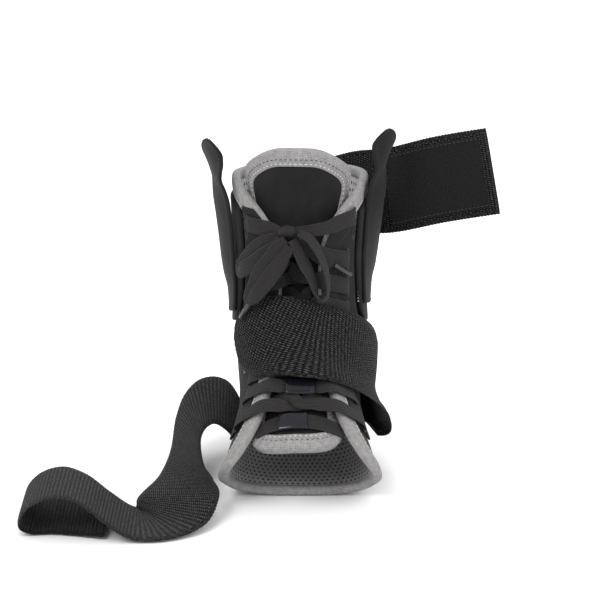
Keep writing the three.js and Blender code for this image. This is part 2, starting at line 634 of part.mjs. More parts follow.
// Top strap: sewn round the back under the rim, then held out past the right flap.
// Its free places are shares of topReach from the leg's axis, and of legHeight above the floor.
const topReach = 111;
const topBack = table(['angle', 'station'], [[196, 2.2], [184, 2.2], [172, 2.2], [160, 2.15]]).map((place) => {
  const { x, y, z } = lifted(place, tapeTop + 3 * clearance + strapThickness / 2);
  const wide = formFrame(place.angle, place.station).alongStation.normalize().negate();
  return { x, y, z, wideX: wide.x, wideY: wide.y, wideZ: wide.z };
});
const topFree = table(looseColumns, [
  [0.29, 0.320, 0.758, 0, 0.05, 1], [0.48, 0.180, 0.783, -0.1, 0.1, 1], [0.73, 0.054, 0.830, -0.16, 0.2, 1],
  [0.96, -0.061, 0.866, -0.17, 0.32, 1], [1, -0.083, 0.872, -0.17, 0.34, 1],
]).map((row) => ({ ...row, x: row.x * topReach, y: row.y * topReach, z: row.z * legHeight }));
const topStations = [...topBack, ...topFree];
addPart('strap_top', spaceStrap(topStations, strapWidth, strapThickness, 20, 2), webbingBlack, 0.9);
const hookLift = -(strapThickness / 2 + 1.5 * clearance + hookThickness / 2);
addPart('hook_patch', spaceStrap(
  topFree.slice(1, -1), strapWidth - 2 * hookInset, hookThickness, 8, 2, hookLift), webbingBlack, 0.95);

// Top laces, knot, bow and free ends. Routes are drawn over the form by hand.
const knotPlace = { angle: -1, station: 2.5, lift: 8.2 };
const knot = new THREE.SphereGeometry(knotWidth / 2, 12, 8);
knot.scale(1, 0.62, 0.68);
const knotPoint = lifted(knotPlace, knotPlace.lift);
knot.translate(knotPoint.x, knotPoint.y, knotPoint.z);
addPart('bow_knot', knot, laceBlack, 0.6);
const knotPerDegree = lifted({ ...knotPlace, angle: knotPlace.angle + 1 }, knotPlace.lift).distanceTo(knotPoint);
const knotSide = (knotWidth / 2 + clearance) / knotPerDegree;
sides.forEach(({ name, sign }) => {
  const at = (distance) => sign * beyondEdge(slitStations.at(-1), distance);
  const route = [
    { angle: at(slitInset), station: 2.4, lift: laceLift }, { angle: at(tapeWidth / 2), station: 2.42, lift: laceLift },
    { angle: at(-1.6), station: 2.47, lift: laceLift + 0.6 },
    { angle: knotPlace.angle + sign * knotSide, station: knotPlace.station, lift: knotPlace.lift },
  ];
  lacePart(`lace_${name}_top`, route, 8);
});

const routeColumns = ['angle', 'station', 'lift', 'twist'];
const bowTable = {
  bow_left: [[-9, 3.0, 8.8, 0], [-24, 3.0, 7.9, 0], [-40, 3.15, 7.8, 0], [-52, 3.36, 8.2, 0], [-54.5, 3.42, 9.5, 0],
    [-50, 3.4, 10.7, 0], [-38, 3.28, 11, 0], [-24, 3.1, 11.2, 0], [-10, 2.98, 11.2, 0]],
  bow_lower: [[-4.5, 3.05, 15, 0], [-12, 3.25, 15.2, 0], [-24, 3.62, 15, 0], [-33, 3.98, 14.4, 0], [-36, 4.12, 15.4, 0],
    [-31, 4.0, 16.6, 0], [-20, 3.55, 17, 0], [-9, 3.1, 17, 0], [-2, 2.85, 16.4, 0]],
  bow_right: [[5, 2.95, 13.5, -60], [7, 3.2, 14, -62], [11, 3.6, 14.2, -66], [15, 4.05, 14.2, -72], [18.5, 4.25, 14.2, -86],
    [23, 4.1, 14.2, -100], [24.5, 3.7, 14, -108], [20, 3.2, 14, -112], [12, 2.8, 13.6, -116]],
  lace_end_left: [[-4, 3.1, 12.8, 0], [-14, 3.3, 13, 0], [-26, 3.75, 13, 0], [-35, 4.1, 12.6, 0], [-38.5, 4.28, 12.2, 0]],
  lace_end_right: [[9, 3.0, 8.1, 0], [16, 3.05, 7.9, 0], [24, 3.2, 7.8, 0], [31, 3.42, 7.8, 0]],
};
const bowPlaces = Object.fromEntries(Object.entries(bowTable).map(([name, values]) => {
  const route = table(routeColumns, values);
  const twistAt = columnCurve(route, 'twist');
  const count = route.length * 2;
  return [name, evenPlaces(route, count, false).map((place) => (
    { ...place, twist: twistAt(place.t * (route.length - 1)) }))];
}));
Object.entries(bowPlaces).forEach(([name, places]) => {
  addPart(name, ribbon(places, laceFull, laceThickness), laceBlack, 0.6);
});

// Clear tube tips that carry on from the free ends
sides.forEach(({ name }) => {
  const places = bowPlaces[`lace_end_${name}`];
  const [before, end] = places.slice(-2).map((place) => lifted(place, place.lift));
  const along = end.clone().sub(before).normalize();
  const aglet = new THREE.CylinderGeometry(agletRadius, agletRadius, agletLength, 10);
  const mesh = addPart(`aglet_${name}`, aglet, clearPlastic, 0.15);
  mesh.position.copy(end).addScaledVector(along, clearance + agletLength / 2);
  mesh.quaternion.setFromUnitVectors(new THREE.Vector3(0, 1, 0), along);
});

// The origin is the middle of the footprint on the floor
const bounds = new THREE.Box3().setFromObject(group);
group.position.set(-(bounds.min.x + bounds.max.x) / 2, -(bounds.min.y + bounds.max.y) / 2, -bounds.min.z);
group.updateMatrixWorld(true);

export default group;
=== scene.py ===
import math
import bpy
import numpy as np
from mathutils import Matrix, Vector


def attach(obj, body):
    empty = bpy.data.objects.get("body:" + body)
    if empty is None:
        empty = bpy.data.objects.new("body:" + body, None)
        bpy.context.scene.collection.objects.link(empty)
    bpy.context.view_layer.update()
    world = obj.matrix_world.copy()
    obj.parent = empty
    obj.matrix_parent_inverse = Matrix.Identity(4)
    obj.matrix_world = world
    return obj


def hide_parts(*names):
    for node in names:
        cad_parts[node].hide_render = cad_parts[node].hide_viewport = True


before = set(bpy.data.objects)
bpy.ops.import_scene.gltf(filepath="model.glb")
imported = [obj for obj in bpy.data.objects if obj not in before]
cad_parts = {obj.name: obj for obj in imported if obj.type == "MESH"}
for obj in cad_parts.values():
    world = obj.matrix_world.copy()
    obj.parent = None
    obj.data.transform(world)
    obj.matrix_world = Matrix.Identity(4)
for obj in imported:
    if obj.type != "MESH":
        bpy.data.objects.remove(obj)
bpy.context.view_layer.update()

scene = bpy.context.scene

# Lace-up ankle brace. Lengths are millimetres from the leg's axis until toScene turns them to metres.
form = {
    "legHeight": 200,
    "footReach": 116,
    "legWidth": 75,
    "soleLevel": 4.1,
    "shift": (19.399, 45.633, 0),   # from the leg's axis to the origin of the frame
}
# Heights above the inner face of the body, outward positive
layers = {
    "bodyTop": 2.6, "facing": (2.72, 4.2), "pocket": (2.9, 5.6), "flap": (6.0, 7.6),
    "lace": 5.6, "underLace": -2.2, "crossLower": -1.7, "crossUpper": 0.1,
    "panel": (-4.65, -3.95), "tongue": (-8.0, -4.8), "strap": (7.0, 8.8),
}


def toScene(points):
    return (np.asarray(points, float) + np.array(form["shift"])) / 1000


def ease(t):
    t = np.clip(t, 0, 1)
    return t * t * (3 - 2 * t)


def unit(vectors):
    return vectors / np.maximum(np.linalg.norm(vectors, axis=-1, keepdims=True), 1e-12)


def smoothColumn(xs, ys):
    xs, ys = np.array(xs, float), np.array(ys, float)
    rise = np.diff(ys) / np.diff(xs)
    slope = np.concatenate([rise[:1], np.zeros(len(xs) - 2), rise[-1:]])
    product, total = rise[:-1] * rise[1:], rise[:-1] + rise[1:]
    slope[1:-1] = np.where(product > 0, 2 * product / np.where(product > 0, total, 1), 0)

    def at(x):
        x = np.asarray(x, float)
        i = np.clip(np.searchsorted(xs, x) - 1, 0, len(xs) - 2)
        span = xs[i + 1] - xs[i]
        t = np.clip((x - xs[i]) / span, -0.5, 1.5)
        t2, t3 = t * t, t * t * t
        return ((2 * t3 - 3 * t2 + 1) * ys[i] + (t3 - 2 * t2 + t) * span * slope[i]
                + (3 * t2 - 2 * t3) * ys[i + 1] + (t3 - t2) * span * slope[i + 1])
    return at


# One row a section, fanned from level at the leg to upright at the foot:
# front Y, front Z, back Y, back Z, half width, where it is widest, front power, back power
formRows = [
    (-0.397, 1.000, 0.405, 1.000, 1.000, 0.50, 2.0, 2.0),
    (-0.375, 0.872, 0.375, 0.872, 0.960, 0.50, 2.0, 2.0),
    (-0.362, 0.742, 0.345, 0.732, 0.920, 0.50, 2.0, 2.0),
    (-0.371, 0.627, 0.332, 0.577, 0.880, 0.50, 2.0, 2.1),
    (-0.405, 0.532, 0.362, 0.432, 0.893, 0.48, 2.0, 2.1),
    (-0.474, 0.452, 0.440, 0.282, 0.920, 0.46, 2.0, 2.1),
    (-0.543, 0.397, 0.513, 0.142, 0.907, 0.45, 2.0, 2.2),
    (-0.603, 0.359, 0.474, 0.027, 0.880, 0.50, 2.0, 2.4),
    (-0.664, 0.327, 0.172, 0.000, 0.880, 0.60, 2.1, 2.9),
    (-0.741, 0.289, -0.216, 0.000, 0.933, 0.66, 2.2, 3.0),
    (-0.845, 0.239, -0.534, 0.000, 1.040, 0.70, 2.2, 2.7),
    (-1.000, 0.172, -0.819, 0.000, 1.147, 0.72, 2.3, 2.5),
]
formColumns = [smoothColumn(range(len(formRows)), column) for column in zip(*formRows)]


def onForm(angle, station):
    turn = np.radians(angle)
    side, ahead = np.sin(turn), np.cos(turn)
    frontY, frontZ, backY, backZ, half, widest, frontPower, backPower = (at(station) for at in formColumns)
    power = np.where(ahead > 0, frontPower, backPower)
    norm = (np.abs(side) ** power + np.abs(ahead) ** power) ** (1 / power)
    share = widest - np.where(ahead > 0, widest, 1 - widest) * ahead / norm
    return np.stack([
        form["legWidth"] / 2 * half * side / norm,
        form["footReach"] * (frontY + (backY - frontY) * share),
        form["soleLevel"] + form["legHeight"] * (frontZ + (backZ - frontZ) * share),
    ], -1)


def formAxes(angle, station):
    alongAngle = onForm(angle + 0.5, station) - onForm(angle - 0.5, station)
    alongStation = (onForm(angle, station + 0.02) - onForm(angle, station - 0.02)) / 0.04
    return alongAngle, alongStation, unit(np.cross(alongStation, alongAngle))


def lifted(angle, station, lift):
    angle, station = np.broadcast_arrays(np.asarray(angle, float), np.asarray(station, float))
    return onForm(angle, station) + formAxes(angle, station)[2] * np.asarray(lift, float)[..., None]


# Steps distances over the form, starting along headings in space
def walk(angle, station, heading, distance):
    angle, station, distance = np.broadcast_arrays(angle, station, distance)
    heading = np.broadcast_to(heading, angle.shape + (3,))
    strides = max(1, math.ceil(np.abs(distance).max() / 2))
    for _ in range(strides):
        a, s, _normal = formAxes(angle, station)
        aa, mixed, ss = (a * a).sum(-1), (a * s).sum(-1), (s * s).sum(-1)
        ha, hs = (heading * a).sum(-1), (heading * s).sum(-1)
        area = aa * ss - mixed * mixed
        stepAngle, stepStation = (ha * ss - hs * mixed) / area, (hs * aa - ha * mixed) / area
        move = a * stepAngle[..., None] + s * stepStation[..., None]
        scale = distance / strides / np.linalg.norm(move, axis=-1)
        angle, station, heading = angle + scale * stepAngle, station + scale * stepStation, unit(move)
    return angle, station


# Smooth curve through points, read at shares t of its whole
def throughPoints(points, t, closed=False):
    points = np.asarray(points, float)
    if closed:
        spans, padded = len(points), np.concatenate([points[-1:], points, points[:2]])
    else:
        spans = len(points) - 1
        padded = np.concatenate([[2 * points[0] - points[1]], points, [2 * points[-1] - points[-2]]])
    place = np.clip(t, 0, 1) * spans
    i = np.minimum(place.astype(int), spans - 1)
    w = (place - i)[:, None]
    p0, p1, p2, p3 = (padded[i + n] for n in range(4))
    d0, d1, d2 = (np.maximum(np.linalg.norm(b - a, axis=1, keepdims=True), 1e-6) ** 0.5
                  for a, b in ((p0, p1), (p1, p2), (p2, p3)))
    m1 = ((p1 - p0) / d0 - (p2 - p0) / (d0 + d1) + (p2 - p1) / d1) * d1
    m2 = ((p2 - p1) / d1 - (p3 - p1) / (d1 + d2) + (p3 - p2) / d2) * d1
    return p1 + m1 * w + (3 * (p2 - p1) - 2 * m1 - m2) * w ** 2 + (2 * (p1 - p2) + m1 + m2) * w ** 3


def runAlong(points):
    return np.concatenate([[0], np.cumsum(np.linalg.norm(np.diff(points, axis=0), axis=1))])


# Run over a grid of points, row by row or column by column
def runOver(grid, axis):
    steps = np.linalg.norm(np.diff(grid, axis=axis), axis=2)
    return np.concatenate([np.zeros_like(np.take(steps, [0], axis)), np.cumsum(steps, axis)], axis)


# One value of every vertex, corner or face of a mesh
def readAll(items, key, size, kind=float):
    values = np.empty(len(items) * size, kind)
    items.foreach_get(key, values)
    return values.reshape(-1, size)


# Millimetres on a piece's map for a degree, a station and a millimetre of lift
mapScale = np.array([math.radians(form["legWidth"] / 2), form["legHeight"] / 13, 1])


# Even places along a route over the form. Rows give angle, station and, where they have one, a lift.
def formRoute(rows, count, closed=False):
    rows = np.array([(*row, 0)[:3] for row in rows], float) * mapScale
    t = np.linspace(0, 1, 30 * len(rows))
    fine = throughPoints(rows, t, closed) / mapScale
    run = runAlong(lifted(*fine.T))
    even = np.interp(np.linspace(0, run[-1], count), run, t)
    angle, station, lift = (throughPoints(rows, even, closed) / mapScale).T
    points = lifted(angle, station, lift)
    if closed:
        along = unit(np.roll(points[:-1], -1, 0) - np.roll(points[:-1], 1, 0))
        along = np.concatenate([along, along[:1]])
    else:
        along = unit(np.gradient(points, axis=0))
    across = unit(np.cross(formAxes(angle, station)[2], along))
    return {"angle": angle, "station": station, "lift": lift, "t": even, "points": points, "along": along,
            "across": across, "high": np.cross(along, across), "run": np.linspace(0, run[-1], count),
            "length": run[-1]}


# Grid of points made into a closed piece, with its UV map in millimetres
def gridPiece(name, points, uv, capped=False, sharp=40):
    rows, columns = points.shape[:2]
    bpy.ops.object.select_all(action="DESELECT")
    bpy.ops.mesh.primitive_grid_add(x_subdivisions=columns - 1, y_subdivisions=rows - 1, size=0.1)
    piece = bpy.context.object
    piece.name = piece.data.name = name
    mesh = piece.data
    mesh.vertices.foreach_set("co", toScene(points).reshape(-1))
    corner = readAll(mesh.loops, "vertex_index", 1, int)[:, 0]
    mesh.uv_layers[0].data.foreach_set("uv", uv.reshape(-1, 2)[corner].reshape(-1))
    bpy.ops.object.mode_set(mode="EDIT")
    bpy.ops.mesh.select_all(action="SELECT")
    bpy.ops.mesh.remove_doubles(threshold=1.5e-6)
    if capped:
        bpy.ops.mesh.fill_holes(sides=0)
        bpy.ops.mesh.select_all(action="SELECT")
    bpy.ops.mesh.normals_make_consistent(inside=False)
    bpy.ops.object.mode_set(mode="OBJECT")
    bpy.ops.object.shade_smooth_by_angle(angle=math.radians(sharp))
    return piece


# Positions from 0 to 1, crowded at both ends where a cloth edge is rounded
def crowded(count, rim):
    inner = np.linspace(rim, 1 - rim, count)
    edge = rim * np.array([0, 0.04, 0.16, 0.4])
    return np.concatenate([edge, inner, 1 - edge[::-1]])


def edgeRound(distance, rim):
    return np.sqrt(np.clip(1 - (1 - np.clip(distance / rim, 0, 1)) ** 2, 0, 1))


# Two layers that meet in a rounded edge all round, or in rows alone where the rows close on themselves
def clothLayer(name, angle, station, bottom, top, rim=1.2, relief=None, closedRows=False, extra=0):
    middle = (np.asarray(bottom) + top) / 2
    half = (np.asarray(top) - bottom) / 2
    flat = lifted(angle, station, middle + np.zeros_like(angle))
    acrossRun, rowRun = runOver(flat, 1), runOver(flat, 0)
    edge = np.minimum(acrossRun, acrossRun[:, -1:] - acrossRun)
    if not closedRows:
        edge = np.minimum(edge, np.minimum(rowRun, rowRun[-1:] - rowRun))
    swell = half * edgeRound(edge, rim)
    raised = (relief(edge) if relief else 0) * edgeRound(edge, rim)
    upper = lifted(angle, station, middle + swell + raised + extra)
    lower = lifted(angle, station, middle - swell + np.zeros_like(angle) + extra)
    points = np.concatenate([upper, lower[:, -2::-1]], 1)
    uv = np.stack([angle * mapScale[0], station * mapScale[1]], -1)
    if closedRows:
        points[-1] = points[0]
    return gridPiece(name, points, np.concatenate([uv, uv[:, -2::-1]], 1))


# Outline of distances in from an edge and lifts, swept along a closed route over the form
def sweptEdge(name, route, inward, outline, waver=0.0, rise=lambda station: 0.0):
    distance, lift = np.array(outline + outline[:1], float).T
    angle, station = walk(route["angle"][:, None], route["station"][:, None], inward[:, None, :],
                          distance[None, :])
    run = route["run"][:, None]
    waves = np.round(route["length"] / edging["waverPitch"])
    ripple = waver * np.sin(2 * np.pi * waves * run / route["length"]) * (lift > 0)
    points = lifted(angle, station, lift[None, :] + ripple + rise(station))
    points[-1] = points[0]
    girth = runAlong(np.stack([distance, lift], 1))
    uv = np.stack(np.broadcast_arrays(girth[None, :], run), -1)
    return gridPiece(name, points, uv.copy())


# Ribbed band swept along frames in space: centres, the direction of its width, and its face
def band(name, centres, wide, high, width, thickness, columns, ribs=0, ribDepth=0, cross=0, crossDepth=0):
    c = np.sin(np.linspace(-np.pi / 2, np.pi / 2, columns))
    width = np.broadcast_to(width, (len(centres),))[:, None]
    along = runAlong(centres)[:, None]
    rise = np.sqrt(np.clip(1 - np.abs(c) ** 7, 0, 1))[None, :] * thickness / 2
    ridge = ribDepth * np.cos(np.pi * c * ribs)[None, :] * (1 - np.abs(c) ** 8)[None, :]
    if cross:
        wave = np.abs(np.sin(np.pi * along / cross))
        ridge = ridge + crossDepth * wave * ease((0.92 - np.abs(c)) / 0.05)[None, :]
        width = width + 0.7 * wave
    place = centres[:, None, :] + wide[:, None, :] * (c[None, :] * width / 2)[..., None]
    upper = place + high[:, None, :] * (rise + ridge)[..., None]
    lower = place - high[:, None, :] * (rise + ridge)[..., None]
    points = np.concatenate([upper, lower[:, -2::-1]], 1)
    uv = np.stack(np.broadcast_arrays(c[None, :] * width / 2, along), -1)
    return gridPiece(name, points, np.concatenate([uv, uv[:, -2::-1]], 1), capped=True)


# A small shape modelled once, and repeated in frames of three axes and a place
def copiesOf(name, model, axes, places):
    base = readAll(model.data.vertices, "co", 3)
    faces = [tuple(polygon.vertices) for polygon in model.data.polygons]
    points = np.einsum("nij,vj->nvi", axes, base) + places[:, None, :]
    mesh = bpy.data.meshes.new(name)
    mesh.from_pydata(toScene(points).reshape(-1, 3).tolist(), [],
                     [[v + n * len(base) for v in face] for n in range(len(places)) for face in faces])
    mesh.polygons.foreach_set("use_smooth", [True] * len(mesh.polygons))
    piece = bpy.data.objects.new(name, mesh)
    scene.collection.objects.link(piece)
    bpy.data.objects.remove(model)
    return piece


def stitchRow(name, path, normals, pitch=2.6, length=1.9, radius=0.3):
    run = runAlong(path)
    count = max(2, int(run[-1] / pitch))
    spots = (np.arange(count) + 0.5) * run[-1] / count
    read = lambda values: np.stack([np.interp(spots, run, values[:, k]) for k in range(3)], 1)
    along, normal = unit(read(np.gradient(path, axis=0))), unit(read(normals))
    across = unit(np.cross(normal, along))
    axes = np.stack([along * length / 2, across * radius, np.cross(along, across) * radius * 0.8], -1)
    bpy.ops.object.select_all(action="DESELECT")
    bpy.ops.mesh.primitive_uv_sphere_add(segments=8, ring_count=5, radius=1)
    model = bpy.context.object
    model.rotation_euler = (0, math.pi / 2, 0)
    bpy.ops.object.transform_apply(location=True, rotation=True, scale=True)
    return copiesOf(name, model, axes, read(path))


def formStitches(name, angle, station, lift, **size):
    angle, station = np.asarray(angle, float), np.asarray(station, float)
    path = lifted(angle, station, lift + np.zeros_like(angle))
    return stitchRow(name, path, formAxes(angle, station)[2], **size)


# Shader sockets that can be added, multiplied and so on as numbers are
class Wire:
    def __init__(self, tree, socket):
        self.tree, self.socket = tree, socket

    def node(self, kind, settings=None, values=None, out=0):
        node = self.tree.nodes.new(kind)
        for key, value in (settings or {}).items():
            if key == "stops":
                while len(node.color_ramp.elements) < len(value):
                    node.color_ramp.elements.new(0.5)
                for element, (position, shade) in zip(node.color_ramp.elements, value):
                    element.position, element.color = position, (*shade, 1)
            else:
                setattr(node, key, value)
        for key, value in (values or {}).items():
            if isinstance(value, Wire):
                self.tree.links.new(value.socket, node.inputs[key])
            else:
                node.inputs[key].default_value = value
        return Wire(self.tree, node.outputs[out])

    def calc(self, operation, *others):
        return self.node("ShaderNodeMath", {"operation": operation}, dict(enumerate((self, *others))))

    def __add__(self, other):
        return self.calc("ADD", other)

    __radd__ = __add__

    def __mul__(self, other):
        return self.calc("MULTIPLY", other)

    __rmul__ = __mul__

    def __sub__(self, other):
        return self.calc("SUBTRACT", other)

    def __rsub__(self, other):
        return self.node("ShaderNodeMath", {"operation": "SUBTRACT"}, {0: other, 1: self})

    def sine(self):
        return self.calc("SINE")

    def size(self):
        return self.calc("ABSOLUTE")

    def between(self, low, high):
        return self.node("ShaderNodeMapRange", {"clamp": True},
                         {"Value": self, "From Min": low, "From Max": high})

    def blend(self, dark, light):
        return self.node("ShaderNodeMix", {"data_type": "RGBA"}, {0: self, 6: dark, 7: light}, out=2)


def ink(red, green, blue):
    return (red, green, blue, 1)


# A material from the shader's fixed values and a function that gives colour, roughness and height
def makeLook(name, fixed, paint, bump=0.4, depth=0.0003, onObject=False):
    material = bpy.data.materials.new(name)
    material.use_nodes = True
    tree = material.node_tree
    shader = tree.nodes["Principled BSDF"]
    for socket, value in fixed.items():
        shader.inputs[socket].default_value = value
    start = Wire(tree, None)
    if onObject:
        place = start.node("ShaderNodeTexCoord", out=3)
        place = place.node("ShaderNodeMapping", {}, {"Vector": place, "Scale": (1000, 1000, 1000)})
    else:
        place = start.node("ShaderNodeUVMap", {"uv_map": "UVMap"})
    split = place.node("ShaderNodeSeparateXYZ", {}, {0: place})
    x, y = split, Wire(tree, split.socket.node.outputs[1])
    grain = lambda scale, detail=2.0: place.node(
        "ShaderNodeTexNoise", {}, {"Vector": place, "Scale": scale, "Detail": detail, "Roughness": 0.6})
    looks = paint(x, y, grain, place)
    for socket in ("Base Color", "Roughness"):
        if socket in looks:
            tree.links.new(looks[socket].socket, shader.inputs[socket])
    if "height" in looks:
        height = looks["height"]
        rough = height.node("ShaderNodeBump", {}, {"Height": height, "Strength": bump, "Distance": depth})
        tree.links.new(rough.socket, shader.inputs["Normal"])
    return material


def paintWebbing(x, y, grain, place):
    rib = (y * (math.pi / webbing["pitch"])).sine().size()
    loop = ((x * (2 * math.pi / webbing["loop"])) + (y * (math.pi / webbing["pitch"]))).sine() * 0.5 + 0.5
    fuzz = grain(1.6, 3)
    selvedge = x.size().between(22.3, 22.7)
    pile = (loop * 0.55 + rib * 0.45) * (1 - selvedge) + selvedge * 0.62
    # Base colour lightens where the loops stand high: painted highlight on the loop tops, broken up by noise
    loopTopHighlight = (grain(0.9, 2) * pile).between(0.27, 0.6)
    return {
        "Base Color": loopTopHighlight.blend(ink(0.001, 0.001, 0.0012), ink(0.062, 0.06, 0.061)),
        "Roughness": (1 - loopTopHighlight * 0.35).between(0.0, 1.15),
        "height": pile + fuzz * 0.5,
    }


webbing = {"pitch": 2.1, "loop": 1.3, "width": 50, "thickness": 1.8, "core": 1.5}
webbingLook = makeLook(
    "loopWebbing", {"Sheen Weight": 0.06, "Sheen Roughness": 0.4, "Specular IOR Level": 0.12},
    paintWebbing, bump=0.8, depth=0.0004)


def paintHeather(x, y, grain, place):
    knit = (y * 7.0).sine() * 0.5 + 0.5
    wale = (x * 6.2 + (y * 3.5).sine() * 0.6).sine() * 0.5 + 0.5
    fibre = grain(2.3, 4)
    patch = grain(0.35, 2)
    tone = (fibre * 0.62 + knit * wale * 0.22 + patch * 0.3).between(0.28, 0.86)
    return {
        "Base Color": tone.blend(ink(0.055, 0.053, 0.055), ink(0.47, 0.46, 0.452)),
        "Roughness": (fibre * 0.3 + 0.7),
        "height": knit * wale + fibre * 0.6,
    }


heatherLook = makeLook(
    "heatherKnit", {"Sheen Weight": 0.08, "Sheen Roughness": 0.5, "Specular IOR Level": 0.15},
    paintHeather, bump=0.7)


def paintMesh(x, y, grain, place):
    pitch, tall = meshCloth["pitch"], meshCloth["pitch"] * meshCloth["tallness"]

    # Two sets of round holes, half a pitch apart, make the six-sided pattern
    def dots(offset):
        across = ((x + offset * pitch) * (math.pi / pitch)).sine()
        along = ((y + offset * tall) * (math.pi / tall)).sine()
        return across * across + along * along * meshCloth["roundness"]
    open1, open2 = dots(0), dots(0.5)
    web = open1.calc("MINIMUM", open2).between(meshCloth["hole"], meshCloth["hole"] + 0.25)
    fibre = grain(2.2, 3)
    light = (fibre * 0.8 + 0.1).blend(ink(0.25, 0.25, 0.255), ink(0.62, 0.61, 0.61))
    return {
        "Base Color": web.blend(ink(0.012, 0.012, 0.013), light),
        "Roughness": fibre * 0.2 + 0.75,
        "height": web + fibre * 0.25,
    }


meshCloth = {"pitch": 2.9, "hole": 0.28, "tallness": 1.732, "roundness": 3.0}
meshLook = makeLook("spacerMesh", {"Sheen Weight": 0.05, "Specular IOR Level": 0.15},
                    paintMesh, bump=1.0, depth=0.0012)


def paintTwill(x, y, grain, place):
    weave = ((x + y) * 5.2).sine() * 0.5 + 0.5
    cross = ((x - y) * 4.1).sine() * 0.5 + 0.5
    fibre = grain(1.9, 3)
    tone = (weave * cross * 0.5 + fibre * 0.6).between(0.2, 0.95)
    return {
        "Base Color": tone.blend(ink(0.003, 0.003, 0.0033), ink(0.03, 0.029, 0.03)),
        "Roughness": 1 - fibre * 0.3,
        "height": weave * cross + fibre * 0.4,
    }


outerCloth = {"meshFoot": 2.35, "seam": 0.2, "depthShare": 0.3}


# The body's outer face: mesh under the top tape, fine cloth below it
def paintOuter(x, y, grain, place):
    mesh, twill = paintMesh(x, y, grain, place), paintTwill(x, y, grain, place)
    foot = outerCloth["meshFoot"] * mapScale[1]
    cover = y.between(foot, foot + outerCloth["seam"])
    return {
        "Base Color": cover.blend(mesh["Base Color"], twill["Base Color"]),
        "Roughness": mesh["Roughness"] + (twill["Roughness"] - mesh["Roughness"]) * cover,
        "height": mesh["height"] * (1 - cover) + twill["height"] * cover * outerCloth["depthShare"],
    }


outerLook = makeLook("bodyOuterCloth", {"Sheen Weight": 0.06, "Specular IOR Level": 0.15},
                     paintOuter, bump=0.8, depth=0.001)
twillLook = makeLook(
    "fineBlackCloth", {"Sheen Weight": 0.06, "Sheen Roughness": 0.35, "Specular IOR Level": 0.15},
    paintTwill, bump=0.5)


def paintSmooth(x, y, grain, place):
    fibre = grain(2.6, 3)
    patch = grain(0.12, 2)
    tone = (fibre * 0.5 + patch * 0.5).between(0.2, 0.9)
    return {
        "Base Color": tone.blend(ink(0.002, 0.002, 0.0022), ink(0.014, 0.014, 0.0145)),
        "Roughness": 0.95 - fibre * 0.3,
        "height": fibre + (x * 6.0).sine() * 0.2,
    }


smoothLook = makeLook(
    "smoothBlackCloth", {"Sheen Weight": 0.06, "Sheen Roughness": 0.4, "Specular IOR Level": 0.18},
    paintSmooth, bump=0.35)


def paintLace(x, y, grain, place):
    # Threads slant one way in one rib of the braid and the other way in the next
    slant = (x * (2 * math.pi / lace["ribPitch"])).sine()
    braid = ((y + slant.size() * 0.9) * 6.6).sine() * 0.5 + 0.5
    fibre = grain(2.4, 3)
    tone = (braid * 0.5 + slant.size() * 0.25 + fibre * 0.4).between(0.25, 1.1)
    return {
        "Base Color": tone.blend(ink(0.002, 0.002, 0.002), ink(0.042, 0.039, 0.038)),
        "Roughness": 0.85 - fibre * 0.25,
        "height": braid + fibre * 0.3,
    }


lace = {"width": 9.5, "thickness": 1.05, "ribs": 5, "ribDepth": 0.16, "ribPitch": 1.9}
laceLook = makeLook(
    "braidedLace", {"Sheen Weight": 0.06, "Sheen Roughness": 0.35, "Specular IOR Level": 0.15},
    paintLace, bump=0.6)


def paintHook(x, y, grain, place):
    nap = (x * 4.4).sine() * (y * 4.4).sine() * 0.5 + 0.5
    fibre = grain(1.2, 4)
    tone = (nap * 0.5 + fibre * 0.6).between(0.3, 1.0)
    return {
        "Base Color": tone.blend(ink(0.0015, 0.0015, 0.0018), ink(0.02, 0.019, 0.021)),
        "Roughness": 1 - fibre * 0.2,
        "height": nap + fibre,
    }


hookLook = makeLook("hookCloth", {"Sheen Weight": 0.04, "Specular IOR Level": 0.12},
                    paintHook, bump=0.9, depth=0.0005)


def paintPlastic(x, y, grain, place):
    haze = grain(0.5, 2)
    return {
        "Base Color": haze.blend(ink(0.003, 0.003, 0.0055), ink(0.007, 0.007, 0.012)),
        "Roughness": haze * 0.15 + 0.12,
        "height": haze,
    }


keeperLook = makeLook(
    "mouldedPlastic", {"Specular IOR Level": 0.3, "Coat Weight": 0.1, "Coat Roughness": 0.1},
    paintPlastic, bump=0.05)


def paintClear(x, y, grain, place):
    haze = grain(0.8, 1)
    return {
        "Base Color": haze.blend(ink(0.01, 0.01, 0.01), ink(0.035, 0.035, 0.035)),
        "Roughness": haze * 0.1 + 0.08,
    }


clearLook = makeLook("clearTube", {"IOR": 1.4, "Coat Weight": 0.35, "Coat Roughness": 0.05, "Coat IOR": 1.5},
                     paintClear, onObject=True)


def paintThread(dark, light):
    def paint(x, y, grain, place):
        fibre = grain(3.0, 2)
        return {"Base Color": fibre.blend(dark, light), "Roughness": fibre * 0.3 + 0.5, "height": fibre}
    return paint


greyThread = makeLook("greyThread", {"Specular IOR Level": 0.2},
                      paintThread(ink(0.30, 0.30, 0.30), ink(0.75, 0.74, 0.73)), onObject=True)
darkThread = makeLook("darkThread", {"Specular IOR Level": 0.2},
                      paintThread(ink(0.006, 0.006, 0.006), ink(0.055, 0.054, 0.053)), onObject=True)
print("looks ready")


def wear(piece, look, slotName, *nodes):
    piece.data.materials.clear()
    piece.data.materials.append(look)
    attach(piece, "root")
    if nodes:
        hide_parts(*nodes)
    return piece


sides = (("right", 1), ("left", -1))

